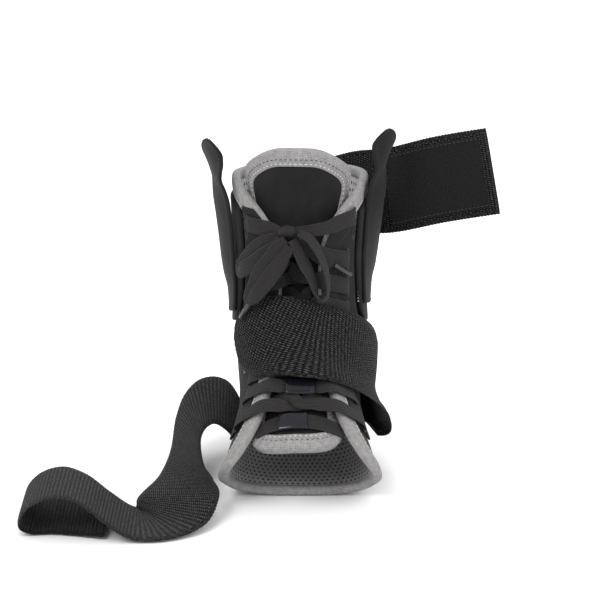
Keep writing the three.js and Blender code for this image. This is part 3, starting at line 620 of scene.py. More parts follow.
# Rim of the body's right half, from back to the middle of the sole, then mirrored
body = {
    "rim": [(180, 1.42), (150, 1.38), (120, 1.32), (90, 1.30), (70, 1.42), (50, 1.66), (36, 1.95),
            (27, 2.30), (21, 2.75), (19.5, 3.30), (19.5, 4.0), (20, 5.0), (22.5, 6.0), (25, 7.0),
            (28, 8.0), (31, 9.0), (36, 9.85), (43, 10.35), (52, 10.70), (64, 10.85), (80, 10.80),
            (96, 10.60), (114, 10.45), (140, 10.40), (180, 10.40)],
    "tapeWidth": 8.4, "tapeRings": (0.0, 1.5, 3.5, 6.0),
    "heel": {"angle": 180, "station": 6.85, "halfAngle": 46, "halfStation": 1.3},
    "rimSamples": 541, "rings": 26,
}
rimRows = body["rim"] + [(360 - angle, station) for angle, station in body["rim"][-2:0:-1]]
rim = formRoute(rimRows, body["rimSamples"], closed=True)
heel = body["heel"]


def heelPlace(turn):
    return (heel["angle"] + heel["halfAngle"] * np.cos(turn),
            heel["station"] + heel["halfStation"] * np.sin(turn))


# Rings under the tape follow the rim, and the rest spread to the heel opening
inAngle, inStation = walk(rim["angle"][:, None], rim["station"][:, None], rim["across"][:, None, :],
                          np.array([*body["tapeRings"], body["tapeWidth"]]))
turn = np.arctan2((rim["station"] - heel["station"]) * mapScale[1],
                  (rim["angle"] - heel["angle"]) * mapScale[0])
endAngle, endStation = heelPlace(turn)
share = np.linspace(0, 1, body["rings"] + 1)[1:]


def ringsTo(inner, end):
    return np.concatenate([inner, inner[:, -1:] + (end[:, None] - inner[:, -1:]) * share], 1)


wallAngle, wallStation = ringsTo(inAngle, endAngle), ringsTo(inStation, endStation)
wall = clothLayer("bodyWall", wallAngle, wallStation, 0.0, layers["bodyTop"], rim=1.0, closedRows=True)
wear(wall, meshLook, "spacer_mesh", "body")
wall.data.materials.append(outerLook)
# The outer face wears the outer cloth
mesh = wall.data
firstCorner = readAll(mesh.polygons, "loop_start", 1, int)[:, 0]
cornerMap = readAll(mesh.uv_layers[0].data, "uv", 2)
faceAngle, faceStation = ((cornerMap[firstCorner] + cornerMap[firstCorner + 2]) / 2 / mapScale[:2]).T
faceCentre = readAll(mesh.polygons, "center", 3) * 1000 - np.array(form["shift"])
height = (formAxes(faceAngle, faceStation)[2] * (faceCentre - onForm(faceAngle, faceStation))).sum(-1)
mesh.polygons.foreach_set("material_index", (height > layers["bodyTop"] / 2).astype(int))
print("body ready")

# Tape folded over an edge, as distances in from the edge and lifts
edging = {
    "outline": [(8.3, 2.72), (8.6, 3.05), (8.5, 3.6), (8.05, 3.95), (7.5, 3.9), (7.1, 3.78), (6.7, 3.92),
                (5.6, 4.12), (3.6, 4.2), (1.6, 4.16), (0.2, 3.95), (-0.7, 3.3), (-1.08, 2.2), (-1.08, 0.7),
                (-0.75, -0.4), (0.1, -1.1), (2.0, -1.25), (3.8, -1.2), (4.3, -0.8), (4.1, -0.2), (2.0, -0.15),
                (-0.2, -0.12), (-0.3, 1.3), (-0.2, 2.7), (2.5, 2.72), (5.5, 2.72)],
    "heelOutline": [(1.6, -1.25), (3.6, -1.2), (4.1, -0.8), (3.9, -0.2), (2.0, -0.15), (-0.2, -0.12),
                    (-0.3, 1.3), (-0.2, 2.7), (1.5, 2.72), (3.0, 2.72)],
    "heelShare": 0.5, "heelSamples": 221, "waver": 0.05, "waverPitch": 7.3,
    "stitchInset": 7.1, "stitchLift": 3.98, "stitch": {"pitch": 2.7, "length": 1.9, "radius": 0.28},
}
tape = sweptEdge("edgeTape", rim, rim["across"], edging["outline"], waver=edging["waver"])
wear(tape, heatherLook, "edge_binding", "edge_tape")
seamAngle, seamStation = walk(rim["angle"], rim["station"], rim["across"], edging["stitchInset"])
seam = formStitches("edgeTapeStitches", seamAngle, seamStation, edging["stitchLift"], **edging["stitch"])
wear(seam, greyThread, "edge_binding")

heelTurns = np.linspace(0, 2 * np.pi, 41)[:-1]
heelRoute = formRoute(list(zip(*heelPlace(heelTurns))), edging["heelSamples"], closed=True)
heelMiddle = onForm(np.float64(heel["angle"]), np.float64(heel["station"]))
facesOut = ((heelRoute["points"] - heelMiddle) * heelRoute["across"]).sum(-1).mean() > 0
heelInward = heelRoute["across"] if facesOut else -heelRoute["across"]
heelOutline = [(d * edging["heelShare"] if d > 0 else d, lift) for d, lift in edging["outline"][:16]]
heelOutline += edging["heelOutline"]
wear(sweptEdge("heelTape", heelRoute, heelInward, heelOutline), heatherLook, "edge_binding", "heel_tape")
print("tapes ready")

# Tongue: half angle of its outline at each station
tongue = {
    "centre": -4,
    "outline": [(0.44, 12), (0.46, 19), (0.52, 27), (0.62, 35), (0.76, 44), (0.95, 54), (1.20, 62),
                (1.50, 65), (1.95, 61), (2.50, 54), (3.30, 48), (4.50, 46), (6.00, 45), (7.50, 44),
                (8.80, 43), (9.60, 43), (10.05, 42.5), (10.28, 39), (10.48, 31), (10.60, 22), (10.66, 12)],
    "rise": 4.4, "riseFrom": 0.75, "riseRun": 0.85, "rows": 110, "columns": 30, "rim": 2.0,
    "binding": [(8.4, -4.1), (8.75, -3.85), (8.7, -3.45), (8.2, -3.2), (7.6, -3.22), (7.2, -3.34),
                (6.8, -3.2), (5.4, -3.02), (3.4, -2.95), (1.4, -3.0), (0.0, -3.25), (-0.8, -4.0),
                (-1.1, -5.2), (-1.1, -7.0), (-0.8, -8.5), (0.0, -9.2), (2.0, -9.4), (3.8, -9.3), (4.3, -8.9),
                (4.0, -8.3), (2.0, -8.2), (-0.3, -8.1), (-0.4, -6.0), (-0.3, -4.5), (2.5, -4.3), (5.5, -4.1)],
    "bindingSamples": 361,
    "seams": [(7.2, greyThread, "tongueStitchesInner", -3.2),
              (4.6, darkThread, "tongueStitchesOuter", -2.95)],
    "stitch": {"pitch": 2.9, "length": 1.5, "radius": 0.3},
    "panelInset": 6.8, "panelRows": 80, "panelColumns": 26, "panelRim": 0.6,
}
tongueHalf = smoothColumn(*zip(*tongue["outline"]))
tongueTop, tongueEnd = tongue["outline"][0][0], tongue["outline"][-1][0]
tongueStations = tongueTop + (tongueEnd - tongueTop) * crowded(tongue["rows"], 0.02)
tongueAcross = 2 * crowded(tongue["columns"], 0.03) - 1
tongueAngle = tongue["centre"] + tongueHalf(tongueStations)[:, None] * tongueAcross[None, :]
tongueStation = np.broadcast_to(tongueStations[:, None], tongueAngle.shape)


def tongueRise(station):
    return tongue["rise"] * (1 - ease((station - tongue["riseFrom"]) / tongue["riseRun"]))


pad = clothLayer("tonguePad", tongueAngle, tongueStation, *layers["tongue"], rim=tongue["rim"],
                 extra=tongueRise(tongueStation))
wear(pad, heatherLook, "tongue_cloth", "tongue")

rightEdge = [(tongue["centre"] + half, station) for station, half in tongue["outline"]]
leftEdge = [(2 * tongue["centre"] - angle, station) for angle, station in rightEdge[::-1]]
foot, crown = (tongue["centre"], tongueEnd + 0.01), (tongue["centre"], tongueTop - 0.01)
tongueRoute = formRoute([*rightEdge, foot, *leftEdge, crown], tongue["bindingSamples"], closed=True)
tongueIn = -tongueRoute["across"]
binding = sweptEdge("tongueBinding", tongueRoute, tongueIn, tongue["binding"], rise=tongueRise)
wear(binding, heatherLook, "tongue_cloth", "tongue_binding")
for inset, look, name, lift in tongue["seams"]:
    angle, station = walk(tongueRoute["angle"], tongueRoute["station"], tongueIn, inset)
    stitches = formStitches(name, angle, station, lift + tongueRise(station), **tongue["stitch"])
    wear(stitches, look, "tongue_cloth")

panelRoute = formRoute(rightEdge, 400)
panelAngle, panelStation = walk(panelRoute["angle"], panelRoute["station"], -panelRoute["across"],
                                tongue["panelInset"])
keep = np.concatenate([[True], np.diff(np.maximum.accumulate(panelStation)) > 0])
panelAngle, panelStation = panelAngle[keep], panelStation[keep]
down = crowded(tongue["panelRows"], 0.02)
panelStations = panelStation[0] + (panelStation[-1] - panelStation[0]) * down
panelHalf = np.interp(panelStations, panelStation, panelAngle) - tongue["centre"]
sheetAngle = tongue["centre"] + panelHalf[:, None] * (2 * crowded(tongue["panelColumns"], 0.03) - 1)[None, :]
sheetStation = np.broadcast_to(panelStations[:, None], sheetAngle.shape)
panel = clothLayer("tonguePanel", sheetAngle, sheetStation, *layers["panel"], rim=tongue["panelRim"],
                   extra=tongueRise(sheetStation))
wear(panel, smoothLook, "panel_cloth", "tongue_panel")
print("tongue ready")

# Facings beside the lacing edge
facing = {
    "outer": [(1.8, 57), (3, 57), (5, 58), (6, 60), (7, 63), (8, 66), (9, 68), (10, 70), (11, 72)],
    "top": {"right": 2.1, "left": 1.78}, "bottom": 9.95, "rows": 110, "columns": 26, "rim": 0.9,
    "inset": body["tapeWidth"] + 0.35,
    # beside the upper laces the facing climbs over the tape
    "overInset": -0.9, "overLast": 4.75, "overFade": 0.55,
    "climbFrom": 7.0, "climbRun": 1.7, "climbLower": 1.6, "climbUpper": 0.72, "slant": 5, "slantRun": 0.6,
}
facingOuter = smoothColumn(*zip(*facing["outer"]))


def lacingEdge(top, lastAngle):
    inside = (rim["angle"] < lastAngle) & (rim["station"] > top) & (rim["station"] < facing["bottom"])
    return rim["angle"][inside], rim["station"][inside], rim["across"][inside]


edgeAngles, edgeStations, _across = lacingEdge(facing["top"]["right"], 40)
for name, sign in sides:
    top = facing["top"][name]
    besideAngle, besideStation, besideAcross = lacingEdge(top, 50)
    covered = 1 - ease((besideStation - facing["overLast"]) / facing["overFade"])
    inset = facing["inset"] + (facing["overInset"] - facing["inset"]) * covered
    startAngle, startStation = walk(besideAngle, besideStation, besideAcross, inset)
    order = np.linspace(0, 1, len(startAngle))
    spots = crowded(facing["rows"], 0.015)
    startAngle, startStation = np.interp(spots, order, startAngle), np.interp(spots, order, startStation)
    reachOut = np.maximum(facingOuter(startStation) - startAngle, 1.0)
    facingAngle = startAngle[:, None] + reachOut[:, None] * crowded(facing["columns"], 0.04)[None, :]
    facingStation = np.broadcast_to(startStation[:, None], facingAngle.shape)
    edgeAngle = np.interp(facingStation, besideStation, besideAngle)
    fromRim = (facingAngle - edgeAngle) * np.linalg.norm(formAxes(edgeAngle, facingStation)[0], axis=-1)
    slant = facing["slant"] * (1 - ease((facingStation - top) / facing["slantRun"]))
    climb = 1 - ease((fromRim - facing["climbFrom"] - slant) / facing["climbRun"])
    lower = layers["facing"][0] + facing["climbLower"] * climb
    upper = layers["facing"][1] + facing["climbUpper"] * climb
    piece = clothLayer(f"facing{name.title()}", sign * facingAngle, facingStation, lower, upper,
                       rim=facing["rim"])
    wear(piece, twillLook, "black_cloth", f"facing_{name}")


# Angle of a place so many millimetres out from the lacing edge
def beyondEdge(station, distance):
    edge = np.interp(station, edgeStations, edgeAngles)
    return edge + distance / np.linalg.norm(formAxes(edge, np.asarray(station, float))[0])


# Light zigzag stitches where the facings' outer edges are sewn down
zigzag = {
    "runs": {"left": (53.5, 6.05, 55.5, 6.8), "right": (64.0, 3.74, 62.5, 4.26)},
    "turns": 6, "halfWidth": 2.6, "lift": 4.5, "stitch": {"pitch": 1.5, "length": 1.6, "radius": 0.22},
}
for name, sign in sides:
    fromAngle, fromStation, toAngle, toStation = zigzag["runs"][name]
    share = np.linspace(0, 1, 40 * zigzag["turns"])
    sway = zigzag["halfWidth"] * (2 * np.abs(2 * (share * zigzag["turns"] % 1) - 1) - 1)
    angle = sign * (fromAngle + (toAngle - fromAngle) * share + sway)
    station = fromStation + (toStation - fromStation) * share
    stitches = formStitches(f"zigzag{name.title()}", angle, station, zigzag["lift"], **zigzag["stitch"])
    wear(stitches, greyThread, "black_cloth")

# Pockets behind the facings, under the top tape
pocket = {
    "edges": [(0, 3, 100), (0.1, 2, 104), (0.35, 2, 106), (0.7, 3, 102), (0.9, 6, 94), (1, 12, 84)],
    "top": 1.9, "foot": 4.75, "drop": 0.375, "rows": 40, "columns": 20, "rim": 1.8,
    "seamColumn": 6, "stitchLift": 5.55, "stitch": {"pitch": 2.4, "length": 1.7, "radius": 0.24},
}
shares, fronts, backs = zip(*pocket["edges"])
pocketFront, pocketBack = smoothColumn(shares, fronts), smoothColumn(shares, backs)
rimTop = smoothColumn(*zip(*body["rim"][6::-1]))
down = crowded(pocket["rows"], 0.03)
frontAngle = facingOuter(pocket["top"] + (pocket["foot"] - pocket["top"]) * down) + pocketFront(down)
breadth = (pocketBack(down) - frontAngle)[:, None]
pocketAngle = frontAngle[:, None] + breadth * crowded(pocket["columns"], 0.03)[None, :]
pocketTop = rimTop(pocketAngle) + pocket["drop"]
pocketStation = pocketTop + (pocket["foot"] - pocketTop) * down[:, None]
seamAngle, seamStation = (grid[4:-4, pocket["seamColumn"]] for grid in (pocketAngle, pocketStation))
for name, sign in sides:
    title = name.title()
    piece = clothLayer(f"pocket{title}", sign * pocketAngle, pocketStation, *layers["pocket"],
                       rim=pocket["rim"])
    wear(piece, smoothLook, "black_cloth", f"pocket_{name}")
    stitches = formStitches(f"pocketStitches{title}", sign * seamAngle, seamStation, pocket["stitchLift"],
                            **pocket["stitch"])
    wear(stitches, darkThread, "black_cloth")


# Raised cord sewn in beside an edge
def piping(edge):
    return flap["piping"] * np.exp(-((edge - flap["pipingInset"]) / flap["pipingWidth"]) ** 2)


# Side flaps with round tabs that lean out above the rim
flap = {
    "profile": [(0, 2, 1.1, 0.1), (0.05, 6, 1.1, 0.45), (0.14, 10.5, 1.08, 0.85), (0.3, 14.5, 1.03, 1.15),
                (0.5, 15, 0.94, 0.9), (0.72, 12.5, 0.83, 0.5), (0.9, 11, 0.75, 0.3), (1.1, 12, 0.67, 0.6),
                (1.4, 13, 0.58, 0.85), (1.8, 13.5, 0.5, 0.8), (2.6, 14, 0.42, 0.63), (3.1, 14.5, 0.28, 0.45),
                (3.5, 15, 0.1, 0.17), (4.1, 15, 0, 0)],
    "centre": 80, "lean": {"right": 6.5, "left": 9}, "rear": {"right": 4.4, "left": 3.6},
    "top": {"right": 0.16, "left": 0.38}, "length": 4.12, "rows": 70, "columns": 18, "rim": 0.9,
    "piping": 0.4, "pipingInset": 1.6, "pipingWidth": 0.6,
    "seams": (("Front", -0.78), ("Rear", 0.78)), "stitch": {"pitch": 2.3, "length": 1.6, "radius": 0.24},
}
drops, halves, leans, rears = zip(*flap["profile"])
flapHalf, flapLean, flapRear = (smoothColumn(drops, column) for column in (halves, leans, rears))
flapDrop = flap["length"] * crowded(flap["rows"], 0.02)
flapAcross = 2 * crowded(flap["columns"], 0.04) - 1


def flapPlace(name, sign, drop, across):
    lean = flap["lean"][name] * flapLean(drop) + flap["rear"][name] * flapRear(drop) * across
    angle = sign * (flap["centre"] + flapHalf(drop) * across)
    return angle, flap["top"][name] + drop, np.clip(lean, 0, None)


for name, sign in sides:
    drop, across = np.broadcast_arrays(flapDrop[:, None], flapAcross[None, :])
    angle, station, lean = flapPlace(name, sign, drop, across)
    piece = clothLayer(f"flap{name.title()}", angle, station, *layers["flap"], rim=flap["rim"], extra=lean,
                       relief=piping)
    wear(piece, smoothLook, "black_cloth", f"flap_{name}")
    for part, spot in flap["seams"]:
        runDrop = np.linspace(0.35, flap["length"] - 0.1, 120)
        angle, station, lean = flapPlace(name, sign, runDrop, spot)
        stitches = formStitches(f"flapStitches{part}{name.title()}", angle, station, layers["flap"][1] + lean,
                                **flap["stitch"])
        wear(stitches, darkThread, "black_cloth")
print("facings, pockets and flaps ready")

# Laces, from the lowest slit up
lacing = {
    "slits": [9.55, 8.5, 7.4, 6.3, 5.3, 4.5, 3.75, 3.0, 2.3],
    "crossings": [9.3, 8.45, 7.38, 6.03, 5.03, 4.2, 3.45, 2.7],
    "slitInset": 15, "throughSlit": 1.3, "throughLift": 3.4, "crossingHalf": 5.5, "spread": 6.2,
    "bunched": 6.6, "rise": 0.7, "gap": 3.3, "innerTape": 4.2, "barStation": 9.93, "barEnd": 10.02,
    "samples": 70, "barSamples": 60, "columns": 23,
    "ring": {"lift": 4.25, "inset": 1.0, "halfWidth": 1.15, "halfHeight": 5.2, "thread": 0.28},
}


def crossingRows(sign, row, isUpper):
    centre, slit, nextSlit = lacing["crossings"][row], lacing["slits"][row], lacing["slits"][row + 1]
    alongAngle, alongStation, _normal = formAxes(np.float64(0), np.float64(centre))
    perAngle, perStation = np.linalg.norm(alongAngle), np.linalg.norm(alongStation)
    slitAngle = beyondEdge(slit, lacing["slitInset"])
    overStation = lambda angle: centre + (slit - centre) * ease(angle / slitAngle)
    middle, spread = lacing["crossingHalf"] / perAngle, lacing["spread"] / perStation
    crossing = layers["crossUpper"] if isUpper else layers["crossLower"]
    over = [(beyondEdge(slit, distance), lift) for distance, lift in (
        (lacing["slitInset"] + lacing["throughSlit"], lacing["throughLift"]),
        (lacing["slitInset"], layers["lace"]), (body["tapeWidth"] / 2, layers["lace"]),
        (-lacing["gap"], layers["lace"]))]
    rise = lacing["rise"] * (beyondEdge(centre, -lacing["gap"]) - middle) * perAngle
    descent = max(layers["crossUpper"], layers["lace"] - rise)
    over.append((middle, descent if isUpper else layers["crossLower"]))
    under = [(middle, crossing), (beyondEdge(centre, -lacing["gap"]), layers["underLace"])]
    under = [(angle, overStation(angle) - spread, lift) for angle, lift in under]
    under += [(beyondEdge(nextSlit, distance), nextSlit, layers["underLace"])
              for distance in (lacing["innerTape"], lacing["slitInset"])]
    return ([(sign * angle, overStation(angle), lift) for angle, lift in over] + [(0, centre, crossing)]
            + [(-sign * angle, station, lift) for angle, station, lift in under])


def lacePiece(name, route, width, *nodes, twist=0):
    turn = np.radians(np.broadcast_to(twist, route["t"].shape))[:, None]
    wide = route["across"] * np.cos(turn) + route["high"] * np.sin(turn)
    high = route["high"] * np.cos(turn) - route["across"] * np.sin(turn)
    piece = band(name, route["points"], wide, high, width, lace["thickness"], lacing["columns"], lace["ribs"],
                 lace["ribDepth"])
    return wear(piece, laceLook, "lace_cord", *nodes)


def bunchedWidth(points):
    beyond = np.abs(points[:, 0]) / lacing["crossingHalf"] - 1.2
    return lacing["bunched"] + (lace["width"] - lacing["bunched"]) * ease(beyond)


for row in range(len(lacing["crossings"])):
    for name, sign in sides:
        isUpper = (row % 2 == 0) == (sign > 0)
        route = formRoute(crossingRows(sign, row, isUpper), lacing["samples"])
        width = bunchedWidth(route["points"])
        lacePiece(f"lace{name.title()}{row + 1}", route, width, f"lace_{name}_{row + 1}")
barAngle = beyondEdge(lacing["slits"][0], lacing["innerTape"])
barBow = lacing["barEnd"] - lacing["barStation"]
barRows = [(c * barAngle, lacing["barStation"] + barBow * c * c, layers["underLace"])
           for c in (-1, -0.5, 0, 0.5, 1)]
lacePiece("laceBar", formRoute(barRows, lacing["barSamples"]), lace["width"], "lace_bar")

# Stitched slits that the laces pass through
slitRing = lacing["ring"]
slitStation = np.array(lacing["slits"])
slitBeyond = np.array([beyondEdge(s, lacing["slitInset"] + slitRing["inset"]) for s in lacing["slits"]])
for name, sign in sides:
    slitAngle = sign * slitBeyond
    _around, alongStation, normal = formAxes(slitAngle, slitStation)
    tall = unit(alongStation)
    broad = unit(np.cross(tall, normal))
    axes = np.stack([broad * slitRing["halfWidth"], tall * slitRing["halfHeight"], np.cross(broad, tall)], -1)
    bpy.ops.object.select_all(action="DESELECT")
    bpy.ops.mesh.primitive_torus_add(major_segments=36, minor_segments=8, major_radius=1,
                                     minor_radius=slitRing["thread"])
    ring = copiesOf(f"slitStitching{name.title()}", bpy.context.object, axes,
                    lifted(slitAngle, slitStation, slitRing["lift"]))
    wear(ring, darkThread, "black_cloth")
print("laces ready")

# Glossy keepers bowed over the lowest laces
keeper = {
    "rows": [(-6, lacing["barStation"], 16, layers["underLace"]),
             (0, lacing["crossings"][1], 14, layers["crossUpper"])],
    "gap": 1.1, "margin": 0.4, "bow": 0.5, "spring": 1.4, "thickness": 0.8, "rim": 0.5, "samples": 24,
    "bead": 0.22, "beadInset": 1.1, "beadWidth": 0.35,
}


def keeperBead(edge):
    return keeper["bead"] * np.exp(-((edge - keeper["beadInset"]) / keeper["beadWidth"]) ** 2)


for number, (centre, station, width, over) in enumerate(keeper["rows"]):
    alongAngle, alongStation, _normal = formAxes(np.float64(centre), np.float64(station))
    reach = lace["width"] / 2 + keeper["margin"]
    drop = reach * (2 * crowded(keeper["samples"], 0.06) - 1)[:, None]
    across = (2 * crowded(keeper["samples"], 0.04) - 1)[None, :]
    drop, across = np.broadcast_arrays(drop, across)
    spring = number * keeper["spring"] * across ** 2
    lift = over + keeper["gap"] + keeper["bow"] * (1 - (drop / reach) ** 2) + spring
    angle = centre + across * width / 2 / np.linalg.norm(alongAngle)
    place = station + drop / np.linalg.norm(alongStation)
    piece = clothLayer(f"keeper{number + 1}", angle, place, 0.0, keeper["thickness"], rim=keeper["rim"],
                       extra=lift, relief=keeperBead)
    wear(piece, keeperLook, "keeper_plastic", f"keeper_{number + 1}")
print("keepers ready")

# Closed strap, with its lower edge bowed out beside the sole
closedStrap = {
    "rows": [(118, 7.8, -2.6, 0), (106, 7.4, -0.5, 6), (94, 7.05, 1.5, 11), (80, 6.8, 2.5, 8.5),
             (65, 6.55, 2, 3.5), (48, 6.35, 1, 1), (25, 6.08, 0, 0), (0, 5.8, 0, 0), (-25, 5.48, 0, 0),
             (-46, 5.18, 0, 0), (-59, 4.98, 0, 0)],
    "endPower": 2.1, "endLength": 36, "samples": 700, "columns": 44, "ribDepth": 0.4, "edgePower": 10,
}
route = formRoute(closedStrap["rows"], closedStrap["samples"])
run = route["run"][:, None]
flareAt = smoothColumn(range(len(closedStrap["rows"])), [row[3] for row in closedStrap["rows"]])
flare = flareAt(route["t"] * (len(closedStrap["rows"]) - 1))[:, None]
into = np.clip(1 - (route["length"] - run) / closedStrap["endLength"], 0, 0.9995)
half = webbing["width"] / 2 * (1 - into ** closedStrap["endPower"]) ** (1 / closedStrap["endPower"])
c = np.sin(np.linspace(-np.pi / 2, np.pi / 2, closedStrap["columns"]))[None, :]
angle, station = walk(route["angle"][:, None], route["station"][:, None], route["across"][:, None, :],
                      c * half)
middle = sum(layers["strap"]) / 2 + route["lift"][:, None] + flare * np.clip(c, 0, None) ** 2
rib = closedStrap["ribDepth"] * np.abs(np.sin(np.pi * run / webbing["pitch"]))
rib = rib * ease((0.92 - np.abs(c)) / 0.05)
swell = webbing["thickness"] / 2 * np.sqrt(np.clip(1 - np.abs(c) ** closedStrap["edgePower"], 0, 1))
upper, lower = lifted(angle, station, middle + swell - 0.1 + rib), lifted(angle, station, middle - swell)
points = np.concatenate([upper, lower[:, -2::-1]], 1)
uv = np.stack(np.broadcast_arrays(c * half, run), -1)
piece = gridPiece("strapClosed", points, np.concatenate([uv, uv[:, -2::-1]], 1), capped=True)
wear(piece, webbingLook, "loop_webbing", "strap_closed")


# Straps through stations in space: centre, and the heading of the width
def spacePath(stations, count):
    stations = np.array(stations, float)
    t = np.linspace(0, 1, 60 * len(stations))
    run = runAlong(throughPoints(stations[:, :3], t))
    even = np.interp(np.linspace(0, run[-1], count), run, t)
    centres = throughPoints(stations[:, :3], even)
    wide = unit(throughPoints(unit(stations[:, 3:]) * 100, even))
    along = unit(np.gradient(centres, axis=0))
    high = unit(np.cross(wide, along))
    return centres, wide, high, run[-1]


looseStrap = {
    "reach": 154, "start": 0.908, "samples": 1280, "columns": 34, "ribDepth": 0.34,
    "rows": [(0.221, -0.013, 0.075, 0, 1, 0.25), (0.238, -0.013, 0.135, 0, 1, 0.3),
             (0.280, -0.018, 0.200, 0, 1, 0.32), (0.330, -0.032, 0.228, 0.05, 1, 0.3),
             (0.374, -0.060, 0.222, 0.14, 1, 0.3), (0.408, -0.095, 0.190, 0.25, 1, 0.22),
             (0.425, -0.160, 0.145, 0.35, 1, 0.05), (0.424, -0.290, 0.085, 0.45, 0.95, -0.12),
             (0.420, -0.490, 0.070, 0.70, 0.78, -0.22), (0.440, -0.680, 0.058, 0.92, 0.40, -0.12),
             (0.462, -0.775, 0.030, 0.82, 0.62, -0.02), (0.520, -0.820, 0.012, 0.35, 0.95, 0),
             (0.600, -0.826, 0.022, 0, 1, 0), (0.682, -0.822, 0.075, 0, 1, 0),
             (0.772, -0.820, 0.145, 0, 1, 0),
             (0.850, -0.812, 0.166, 0, 1, 0.02), (0.930, -0.800, 0.140, 0, 1, 0.03),
             (0.978, -0.785, 0.088, 0, 1, 0.04), (0.984, -0.768, 0.045, 0, 1, 0.06),
             (0.948, -0.752, 0.024, 0, 1, 0.08), (0.870, -0.742, 0.024, 0, 1, 0.1),
             (0.685, -0.792, 0.022, 0, 1, 0.04)],
}
reach = looseStrap["reach"]
firstX = looseStrap["rows"][0][0]
startX = looseStrap["start"] * form["legWidth"] / 2
looseStations = [(-startX - (x - firstX) * reach, y * reach, z * reach, -wideX, wideY, wideZ)
                 for x, y, z, wideX, wideY, wideZ in looseStrap["rows"]]
centres, wide, high, looseLength = spacePath(looseStations, looseStrap["samples"])
piece = band("strapLoose", centres, wide, high, webbing["width"], webbing["core"], looseStrap["columns"],
             cross=webbing["pitch"], crossDepth=looseStrap["ribDepth"])
wear(piece, webbingLook, "loop_webbing", "strap_loose")
looseLength / 1000
print("loose strap", round(looseLength), "mm long")

topStrap = {
    "reach": 111, "samples": 420, "columns": 40, "ribDepth": 0.22,
    "sewn": [(196, 2.2), (184, 2.2), (172, 2.2), (160, 2.15)], "sewnLift": 6.2,
    "free": [(0.29, 0.320, 0.758, 0, 0.05, 1), (0.48, 0.180, 0.783, -0.1, 0.1, 1),
             (0.73, 0.054, 0.830, -0.16, 0.2, 1), (0.96, -0.061, 0.866, -0.17, 0.32, 1),
             (1, -0.083, 0.872, -0.17, 0.34, 1)],
    "patch": {"samples": 120, "width": 42, "thickness": 0.9, "columns": 30, "lift": 1.75},
    "seam": {"spots": (("Upper", 19.5), ("Lower", -19.5)), "lift": 2.25},
    "stitch": {"pitch": 2.6, "length": 1.8, "radius": 0.3},
}
sewn = []
for angle, station in topStrap["sewn"]:
    place = lifted(float(angle), float(station), topStrap["sewnLift"])
    sewn.append((*place, *-unit(formAxes(np.float64(angle), np.float64(station))[1])))
reach = topStrap["reach"]
free = [(x * reach, y * reach, z * form["legHeight"], *heading) for x, y, z, *heading in topStrap["free"]]
centres, wide, high, topLength = spacePath(sewn + free, topStrap["samples"])
piece = band("strapTop", centres, wide, high, webbing["width"], webbing["core"], topStrap["columns"],
             cross=webbing["pitch"], crossDepth=topStrap["ribDepth"])
topPiece = wear(piece, webbingLook, "loop_webbing", "strap_top")
patch, seam = topStrap["patch"], topStrap["seam"]
centres, wide, high, _length = spacePath(free[1:-1], patch["samples"])
piece = band("hookPatch", centres - high * patch["lift"], wide, high, patch["width"], patch["thickness"],
             patch["columns"])
topAdded = [wear(piece, hookLook, "hook_cloth", "hook_patch")]
for name, spot in seam["spots"]:
    path = centres - high * seam["lift"] + wide * spot
    stitches = stitchRow(f"hookStitches{name}", path, -high, **topStrap["stitch"])
    topAdded.append(wear(stitches, darkThread, "hook_cloth"))
topLength / 1000
print("straps ready")

# Top laces, knot, bow and free ends
bow = {
    "knot": (-9, 2.2, 8.2), "knotWidth": 11, "knotHeight": 0.62, "knotDepth": 0.68, "knotInset": 1.5,
    "topLace": {"right": (1.97, 2.05, 2.12), "left": (2.13, 2.17, 2.19)},
    "topSamples": 50, "topNarrow": 3.2, "topBend": (-1.6, 0.6),
    # angle, station, lift and twist
    "routes": {
        "bow_left": [(-13, 2.28, 8.8, 0), (-28, 2.5, 8.2, 0), (-41, 2.78, 7.9, 0), (-50, 3.05, 8.1, 0),
                     (-54, 3.24, 9.3, 0), (-50, 3.3, 10.5, 0), (-38, 3.1, 11, 0), (-25, 2.76, 11.2, 0),
                     (-13, 2.38, 11.2, 0)],
        "bow_lower": [(-9, 2.35, 14, 0), (-13, 2.5, 15, 0), (-18, 2.8, 15.2, 0), (-26.5, 3.28, 15, 0),
                      (-32, 3.84, 14.4, 0), (-34, 4.08, 15.2, 0), (-30.5, 4.12, 16.5, 0), (-22, 3.7, 17, 0),
                      (-13, 3.0, 17, 0), (-6, 2.5, 16.4, 0)],
        "bow_right": [(-5, 2.35, 13.2, -40), (0.5, 2.78, 14, -40), (6.5, 3.36, 14.2, -48),
                      (10, 3.98, 14.2, -62), (13, 4.32, 14.2, -90), (16.5, 4.18, 14.2, -112),
                      (18, 3.74, 14.2, -124), (16.5, 3.16, 14.2, -128), (11.5, 2.62, 13.8, -128),
                      (5.5, 2.3, 13.4, -124), (-1, 2.18, 12.8, -120)],
        "lace_end_left": [(-9, 2.6, 12.8, 0), (-15, 3.1, 13, 0), (-24, 3.7, 13, 0), (-32.5, 4.08, 12.6, 0),
                          (-35, 4.24, 12.2, 0)],
        "lace_end_right": [(-1, 2.38, 8.9, 0), (8, 2.6, 8.3, 0), (17, 2.84, 7.9, 0), (27, 3.08, 7.8, 0)],
    },
    "pieceNames": {"bow_left": "bowLeft", "bow_lower": "bowLower", "bow_right": "bowRight",
                   "lace_end_left": "laceEndLeft", "lace_end_right": "laceEndRight"},
    "loopSamples": 110, "endSamples": 60, "pinched": 6, "pinchShare": 0.18, "endNarrow": 0.68,
}
knotAngle, knotStation, knotLift = bow["knot"]
knotPoint = lifted(float(knotAngle), float(knotStation), knotLift)
perDegree = np.linalg.norm(lifted(knotAngle + 1.0, float(knotStation), knotLift) - knotPoint)
knotSide = (bow["knotWidth"] / 2 - bow["knotInset"]) / perDegree
bendDistance, bendLift = bow["topBend"]
